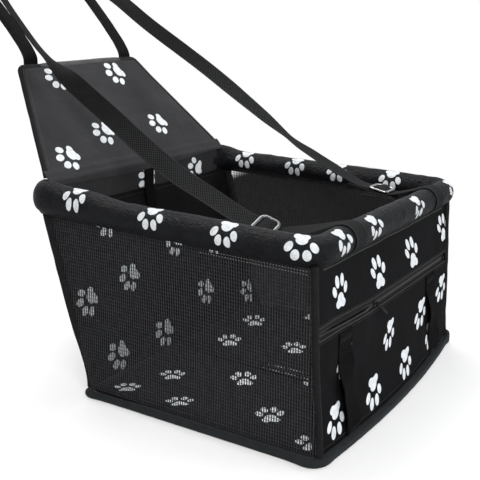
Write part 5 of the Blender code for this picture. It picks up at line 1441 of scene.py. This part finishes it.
def suspension(side, s):
    """The strap's path and width direction: sewn behind the flap, up over the headrest, down through the adjuster and round the rim."""
    if side == "left":
        top, adj, slope, tilt = v3(0.4120, 0.5140), v3(-0.0460, 0.2185), 0.34, 28
        run = [(0.355, 0.4610), (0.306, 0.4120), (0.272, 0.3870), (0.234, 0.3620), (0.179, 0.3280), (0.135, 0.3000), (0.096, 0.2765), (0.067, 0.2620), (0.030, 0.2465)]
        rolls = [(0.430, 0), (0.400, -12), (0.360, -22), (0.310, -22), (0.285, -18), (0.270, 0), (0.252, 34), (0.236, 46), (0.160, 50), (0.100, 46), (0.050, 36), (0.010, 30), (-0.012, 28), (-0.3, 28)]
    else:
        top, adj, slope, tilt = v3(0.4275, 0.5365), v3(-0.0830, 0.2275), 0.20, 0
        run = [(0.375, 0.5000), (0.331, 0.4720), (0.282, 0.4380), (0.188, 0.3790), (0.115, 0.3290), (0.052, 0.2850), (0.020, 0.2670), (-0.010, 0.2510)]
        rolls = [(0.430, 0), (0.400, 10), (0.370, 26), (0.250, 30), (0.150, 26), (0.090, 10), (0.056, -10), (0.030, 2), (-0.010, 6), (-0.045, 0), (-0.3, 0)]
    along = unit(np.array([0, 1.0, slope]))
    out = np.array([0, -along[2], along[1]])
    ct_, st_ = math.cos(math.radians(tilt)), math.sin(math.radians(tilt))
    out_t = np.array([-st_, out[1] * ct_, out[2] * ct_])
    back_t = -(0.0052 + 0.0004 + WEB_T / 2)
    fold0 = v3(*FOLD)
    sewn = [fold0 + u_f * q + n_f * back_t for q in (flap_len - 0.028, flap_len - 0.014, flap_len + 0.003)]
    end = top + v3(0.0085, -0.012)
    rise = [lerp(sewn[-1], end, k) + v3(-lean_y, 0) for k, lean_y in ((0.05, 0.0055), (0.10, 0.0090), (0.2, 0.0115), (0.4, 0.0110), (0.6, 0.0085), (0.8, 0.0045), (1.0, 0.0))]
    turn = [top + v3(0.0075, -0.0045), top + v3(0.0045, 0.0), top, top + v3(-0.0055, 0), top + v3(-0.0095, -0.0015), top + v3(-0.0140, -0.0050)]
    head = [at_x(p, s * STRAP_SEWN_X) for p in sewn + rise + turn]
    aside = [0.0, 0.0045, 0.0062, 0.0060, 0.0055, 0.0048, 0.0036, 0.0022, 0.0010, 0.0]
    for p, dx in zip(head, aside):
        p[0] += dx * (1.0 if side == "left" else 0.75)

    def x_at(y):
        k = min(1.0, max(0.0, (y - adj[1] - 0.034) / (top[1] - 0.014 - adj[1] - 0.034)))
        return s * lerp(STRAP_X, STRAP_SEWN_X, k)

    mid = at_x(adj, s * STRAP_X)
    lead = [mid + along * 0.034 - out_t * 0.0023, mid + along * 0.0165 - out_t * 0.0023]
    down = list(catmull([head[-1]] + [v3(a, b, x_at(a)) for a, b in run] + lead, 0.005)[1:])
    weave = [mid + along * d + out_t * h for d, h in ((0.0100, -0.0023), (0.0082, -0.0012), (0.0050, 0.0018), (0.0036, 0.0023), (-0.0036, 0.0023), (-0.0050, 0.0018), (-0.0082, -0.0012), (-0.0100, -0.0023), (-0.0165, -0.0023))]
    rim_c = v3(*RIM_FRONT, s * STRAP_X)
    wrap = [rim_c + v3(WRAP_R * math.cos(math.radians(a)), WRAP_R * math.sin(math.radians(a))) for a in range(70, 271, 10)]
    low0 = rim_c + v3(0.0105, -WRAP_R + 0.0002)
    under = [mid - along * 0.020 - out_t * 0.0052, mid - out_t * 0.0052, mid + along * 0.020 - out_t * 0.0048]
    tail_end = mid + along * 0.046 - out_t * 0.0042
    mid_low = lerp(low0, under[0], 0.5) + v3(0, -0.0030)
    back_run = list(catmull([wrap[-1], low0, mid_low] + under + [tail_end], 0.005)[1:])
    to_rim = list(catmull([weave[-1], lerp(weave[-1], wrap[0], 0.5) + v3(0, -0.0010), wrap[0]], 0.005)[1:-1])
    path = np.array(head + down + weave + to_rim + wrap + back_run)
    ky, kr = np.array([q[0] for q in rolls])[::-1], np.array([q[1] for q in rolls])[::-1]
    roll = [0.0] * len(head) + [float(np.interp(p[1], ky, kr)) for p in down] + [tilt] * len(weave)
    roll += [tilt * (1 - (i + 1) / (len(to_rim) + 1)) for i in range(len(to_rim))] + [0.0] * len(wrap)
    roll += [tilt * min(1.0, max(0.0, (p[1] - rim_c[1] - 0.012) / (under[0][1] - rim_c[1] - 0.012))) for p in back_run]
    # finer points, with the turns softened a little
    ln = length_along(path)
    q = np.arange(0, ln[-1], 0.0022)
    fine = np.stack([np.interp(q, ln, path[:, c]) for c in range(3)], 1)
    r = np.interp(q, ln, roll)
    for _ in range(2):
        fine[1:-1] = 0.25 * fine[:-2] + 0.5 * fine[1:-1] + 0.25 * fine[2:]
    for _ in range(8):
        r[1:-1] = 0.25 * r[:-2] + 0.5 * r[1:-1] + 0.25 * r[2:]
    # which way the face looks: along the free span as the strap runs, in the adjuster as the metal lies
    first_web = float(ln[len(head) + len(down)])
    last_web = float(ln[len(head) + len(down) + len(weave) - 1])
    tan = tangents(fine)
    face = unit(np.stack([np.zeros(len(tan)), tan[:, 2], -tan[:, 1]], 1))
    face = np.where((q > last_web + 0.02)[:, None], -face, face)
    in_web = ramp(q, first_web - 0.012, first_web) * (1 - ramp(q, last_web, last_web + 0.012))
    face = unit(face * (1 - in_web[:, None]) + out[None] * in_web[:, None])
    face = np.where((face @ out)[:, None] * np.where(r > 1, 1, 0)[:, None] < 0, -face, face)
    rr = np.radians(r)[:, None]
    across = np.cos(rr) * X1[None] + np.sin(rr) * face
    ob = ribbon(f"suspension_webbing_{side}", fine, across, WEB_W, WEB_T, STRAP_WEBBING)
    return ob, fine, across, adj, along, out, sewn, tilt


straps = {}
for side, s in (("left", -1), ("right", 1)):
    ob, fine, across, adj, along, out, sewn, tilt = suspension(side, s)
    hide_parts(f"suspension_strap_{side}")
    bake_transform(ob)
    straps[side] = ob
    # box stitching where the strap is sewn behind the flap
    dback = -(0.0052 + 0.0004 + WEB_T)
    hx, q0, q1 = 0.0095, flap_len - 0.0260, flap_len - 0.0060
    box = [(-hx, q0), (hx, q0), (hx, q1), (-hx, q1), (-hx, q0), (hx, q1)]
    ln = resample(np.array(box), 0.001)
    p = flap_at(ln[:, 0] + s * STRAP_SEWN_X, ln[:, 1], np.full(len(ln), dback))
    ride(stitches(f"strap_box_stitches_{side}", p, np.tile([0.0, uz, -uy], (len(p), 1)), THREAD), "flap", "webbing")


# adjusters: pressed metal tri-glides with rounded bars
def tri_glide(name, side, s, adj, slope, tilt):
    along = unit(np.array([0, 1.0, slope]))
    flat_out = np.array([0, -along[2], along[1]])
    ca, sa = math.cos(math.radians(tilt)), math.sin(math.radians(tilt))
    out = flat_out * ca - X1 * sa
    wide_dir = X1 * ca + flat_out * sa

    def world(p):
        p = np.asarray(p, float)
        return np.array([s * STRAP_X, adj[1], adj[2]]) + p[..., :1] * wide_dir + p[..., 1:2] * along + p[..., 2:3] * out

    # outer frame: a rounded loop of flattened section, then the middle bar
    hx, hy, r = 0.0170 - 0.0019, 0.0140 - 0.0021, 0.0062
    loop = rounded(hx, hy, r, 10, 0.0011)
    tan = tangents(loop, True)
    o = np.stack([tan[:, 1], -tan[:, 0]], 1)
    a = np.linspace(0, 2 * math.pi, 17)[:-1]
    wide = np.where(np.abs(loop[:, 1]) > hy - 0.0012, 0.0021, 0.0018)
    wide = np.convolve(np.concatenate([wide[-4:], wide, wide[:4]]), np.ones(9) / 9, "valid")
    sx, sz = np.sign(np.cos(a)) * np.abs(np.cos(a)) ** 0.8, np.sign(np.sin(a)) * np.abs(np.sin(a)) ** 0.8 * 0.0013
    rings = np.stack([loop[:, None, 0] + o[:, None, 0] * sx[None] * wide[:, None], loop[:, None, 1] + o[:, None, 1] * sx[None] * wide[:, None], np.broadcast_to(sz[None], (len(loop), 16))], -1)
    n, k = rings.shape[:2]
    verts = [world(rings).reshape(-1, 3)]
    groups = [(quads(n, k, True, True), {})]
    xs = np.linspace(-0.0150, 0.0150, 61)
    knurl = 1 + 0.035 * np.cos(2 * math.pi * xs / 0.0016) * (np.abs(xs) < 0.0115)
    bar = np.stack([np.broadcast_to(xs[:, None], (61, 16)), 0.0025 * sx[None] * np.ones((61, 1)), sz[None] * knurl[:, None] * 0.96], -1)
    b = quads(61, 16, False, True)
    caps = [np.arange(16)[None], (np.arange(16)[::-1] + 60 * 16)[None]]
    start = n * k
    verts.append(world(bar).reshape(-1, 3))
    for f in [b, *caps]:
        groups.append((f[:, ::-1] + start, {}))
    # check each body's own sense
    v = np.concatenate(verts)
    out_groups = []
    for gs in (groups[:1], groups[1:]):
        vol = sum(np.einsum("ij,ij->", v[f][:, 0] - v[start - 1], np.cross(v[f][:, i] - v[start - 1], v[f][:, i + 1] - v[start - 1])) for f, _ in gs for i in range(1, f.shape[1] - 1))
        out_groups += [(f if vol > 0 else f[:, ::-1], u) for f, u in gs]
    # the right adjuster takes the copy of the metal painted lighter, as a painted highlight
    ob = add_mesh(name, v, out_groups, SILVER if s < 0 else ADJUSTER_RIGHT_PAINTED_HIGHLIGHT, 60, closed=False)
    return ride(ob, f"adjuster_{side}", "adjuster_metal", [f"adjuster_{side}"])


tri_glide("tri_glide_left", "left", -1, (0, -0.0460, 0.2185), 0.34, 28)
tri_glide("tri_glide_right", "right", 1, (0, -0.0830, 0.2275), 0.20, 0)

# ------------------------------------------------------------ floor and light
me = bpy.data.meshes.new("studio_floor")
me.from_pydata([(-1.4, -1.6, -0.0012), (0.9, -1.6, -0.0012), (0.9, 0.9, -0.0012), (-1.4, 0.9, -0.0012)], [], [(0, 1, 2, 3)])
floor = bpy.data.objects.new("studio_floor", me)
scene.collection.objects.link(floor)
k = Look("studio_floor", rough=0.9, spec=0.1)
k.colour(k.mix(k.noise(k.place(), 3.0), (0.90, 0.90, 0.90), (0.92, 0.92, 0.92)))
# a pale sheet whose edges fade into the white of the room
fx, fy, _ = k.split(k.place())
fade = k.math("MULTIPLY", k.remap(fx, 0.206, 0.234, 1.0, 0.0, True), k.remap(fx, -0.95, -0.60, 0.0, 1.0, True))
fade = k.math("MULTIPLY", fade, k.math("MULTIPLY", k.remap(fy, 0.32, 0.52, 1.0, 0.0, True), k.remap(fy, -1.00, -0.65, 0.0, 1.0, True)))
k.put(k.b.inputs["Alpha"], k.math("MULTIPLY", fade, 0.6))
me.materials.append(k.m)
floor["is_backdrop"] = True

world = bpy.data.worlds.new("studio")
world.use_nodes = True
wt = world.node_tree
for n in list(wt.nodes):
    wt.nodes.remove(n)


def wn(kind, **props):
    n = wt.nodes.new(kind)
    for a, b in props.items():
        setattr(n, a, b)
    return n


def wmath(op, a, b):
    n = wn("ShaderNodeMath", operation=op)
    for i, x in enumerate((a, b)):
        if isinstance(x, bpy.types.NodeSocket):
            wt.links.new(x, n.inputs[i])
        else:
            n.inputs[i].default_value = x
    return n.outputs[0]


# white room light, with a black flag far behind the open right-hand net
sky = wn("ShaderNodeSeparateXYZ")
wt.links.new(wn("ShaderNodeTexCoord").outputs["Generated"], sky.inputs[0])
az = wmath("SUBTRACT", wmath("ARCTAN2", sky.outputs[1], sky.outputs[0]), math.radians(26.4))
el = wmath("SUBTRACT", wmath("ARCSINE", sky.outputs[2], 0.0), math.radians(-15.55))
spot = wmath("ADD", wmath("POWER", wmath("DIVIDE", az, math.radians(7.6)), 4.0), wmath("POWER", wmath("DIVIDE", el, math.radians(6.7)), 4.0))
flag = wn("ShaderNodeMapRange", interpolation_type="SMOOTHSTEP")
for a, b in (("From Min", 0.85), ("From Max", 1.15), ("To Min", 0.012), ("To Max", 1.0)):
    flag.inputs[a].default_value = b
wt.links.new(spot, flag.inputs["Value"])
shown, light = wn("ShaderNodeBackground"), wn("ShaderNodeBackground")
wt.links.new(flag.outputs[0], shown.inputs[0])
light.inputs[0].default_value = (1.0, 1.0, 1.0, 1.0)
light.inputs[1].default_value = WORLD_LIGHT
which = wn("ShaderNodeMixShader")
wt.links.new(wn("ShaderNodeLightPath").outputs["Is Camera Ray"], which.inputs[0])
wt.links.new(light.outputs[0], which.inputs[1])
wt.links.new(shown.outputs[0], which.inputs[2])
wt.links.new(which.outputs[0], wn("ShaderNodeOutputWorld").inputs[0])
scene.world = world


def softbox(name, place, target, size, power, colour=(1, 1, 1)):
    data = bpy.data.lights.new(name, "AREA")
    data.shape = "RECTANGLE"
    data.size, data.size_y = size
    data.energy = power
    data.color = colour
    ob = bpy.data.objects.new(name, data)
    scene.collection.objects.link(ob)
    ob.location = place
    ob.rotation_mode = "QUATERNION"
    ob.rotation_quaternion = (Vector(target) - Vector(place)).to_track_quat("-Z", "Y")


softbox("overhead", (0.45, 0.60, 1.55), (0, 0.05, 0.2), (1.2, 1.0), 27.0)
softbox("key", (-1.5, -1.3, 1.2), (0, 0, 0.15), (0.9, 0.9), 34.0)
softbox("fill", (0.9, -1.7, 0.9), (0, 0, 0.2), (0.9, 0.9), 12.0, (0.95, 0.98, 1.0))

# the rows of one thread on one body are one piece
for number, ((body, slot, keep, _), rows) in enumerate(thread_rows.items()):
    first = np.cumsum([0] + [len(r["verts"]) for r in rows])
    groups = [(np.concatenate([r["groups"][g][0] + k for r, k in zip(rows, first)]), {}) for g in (0, 1)]
    ride(add_mesh(f"stitches_{body}_{slot}_{number}", np.concatenate([r["verts"] for r in rows]), groups, rows[0]["mat"], 80), body, slot, keep=keep)

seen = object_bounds()
{"cad": [list(v) for v in cad_box], "visual": [list(v) for v in seen]}
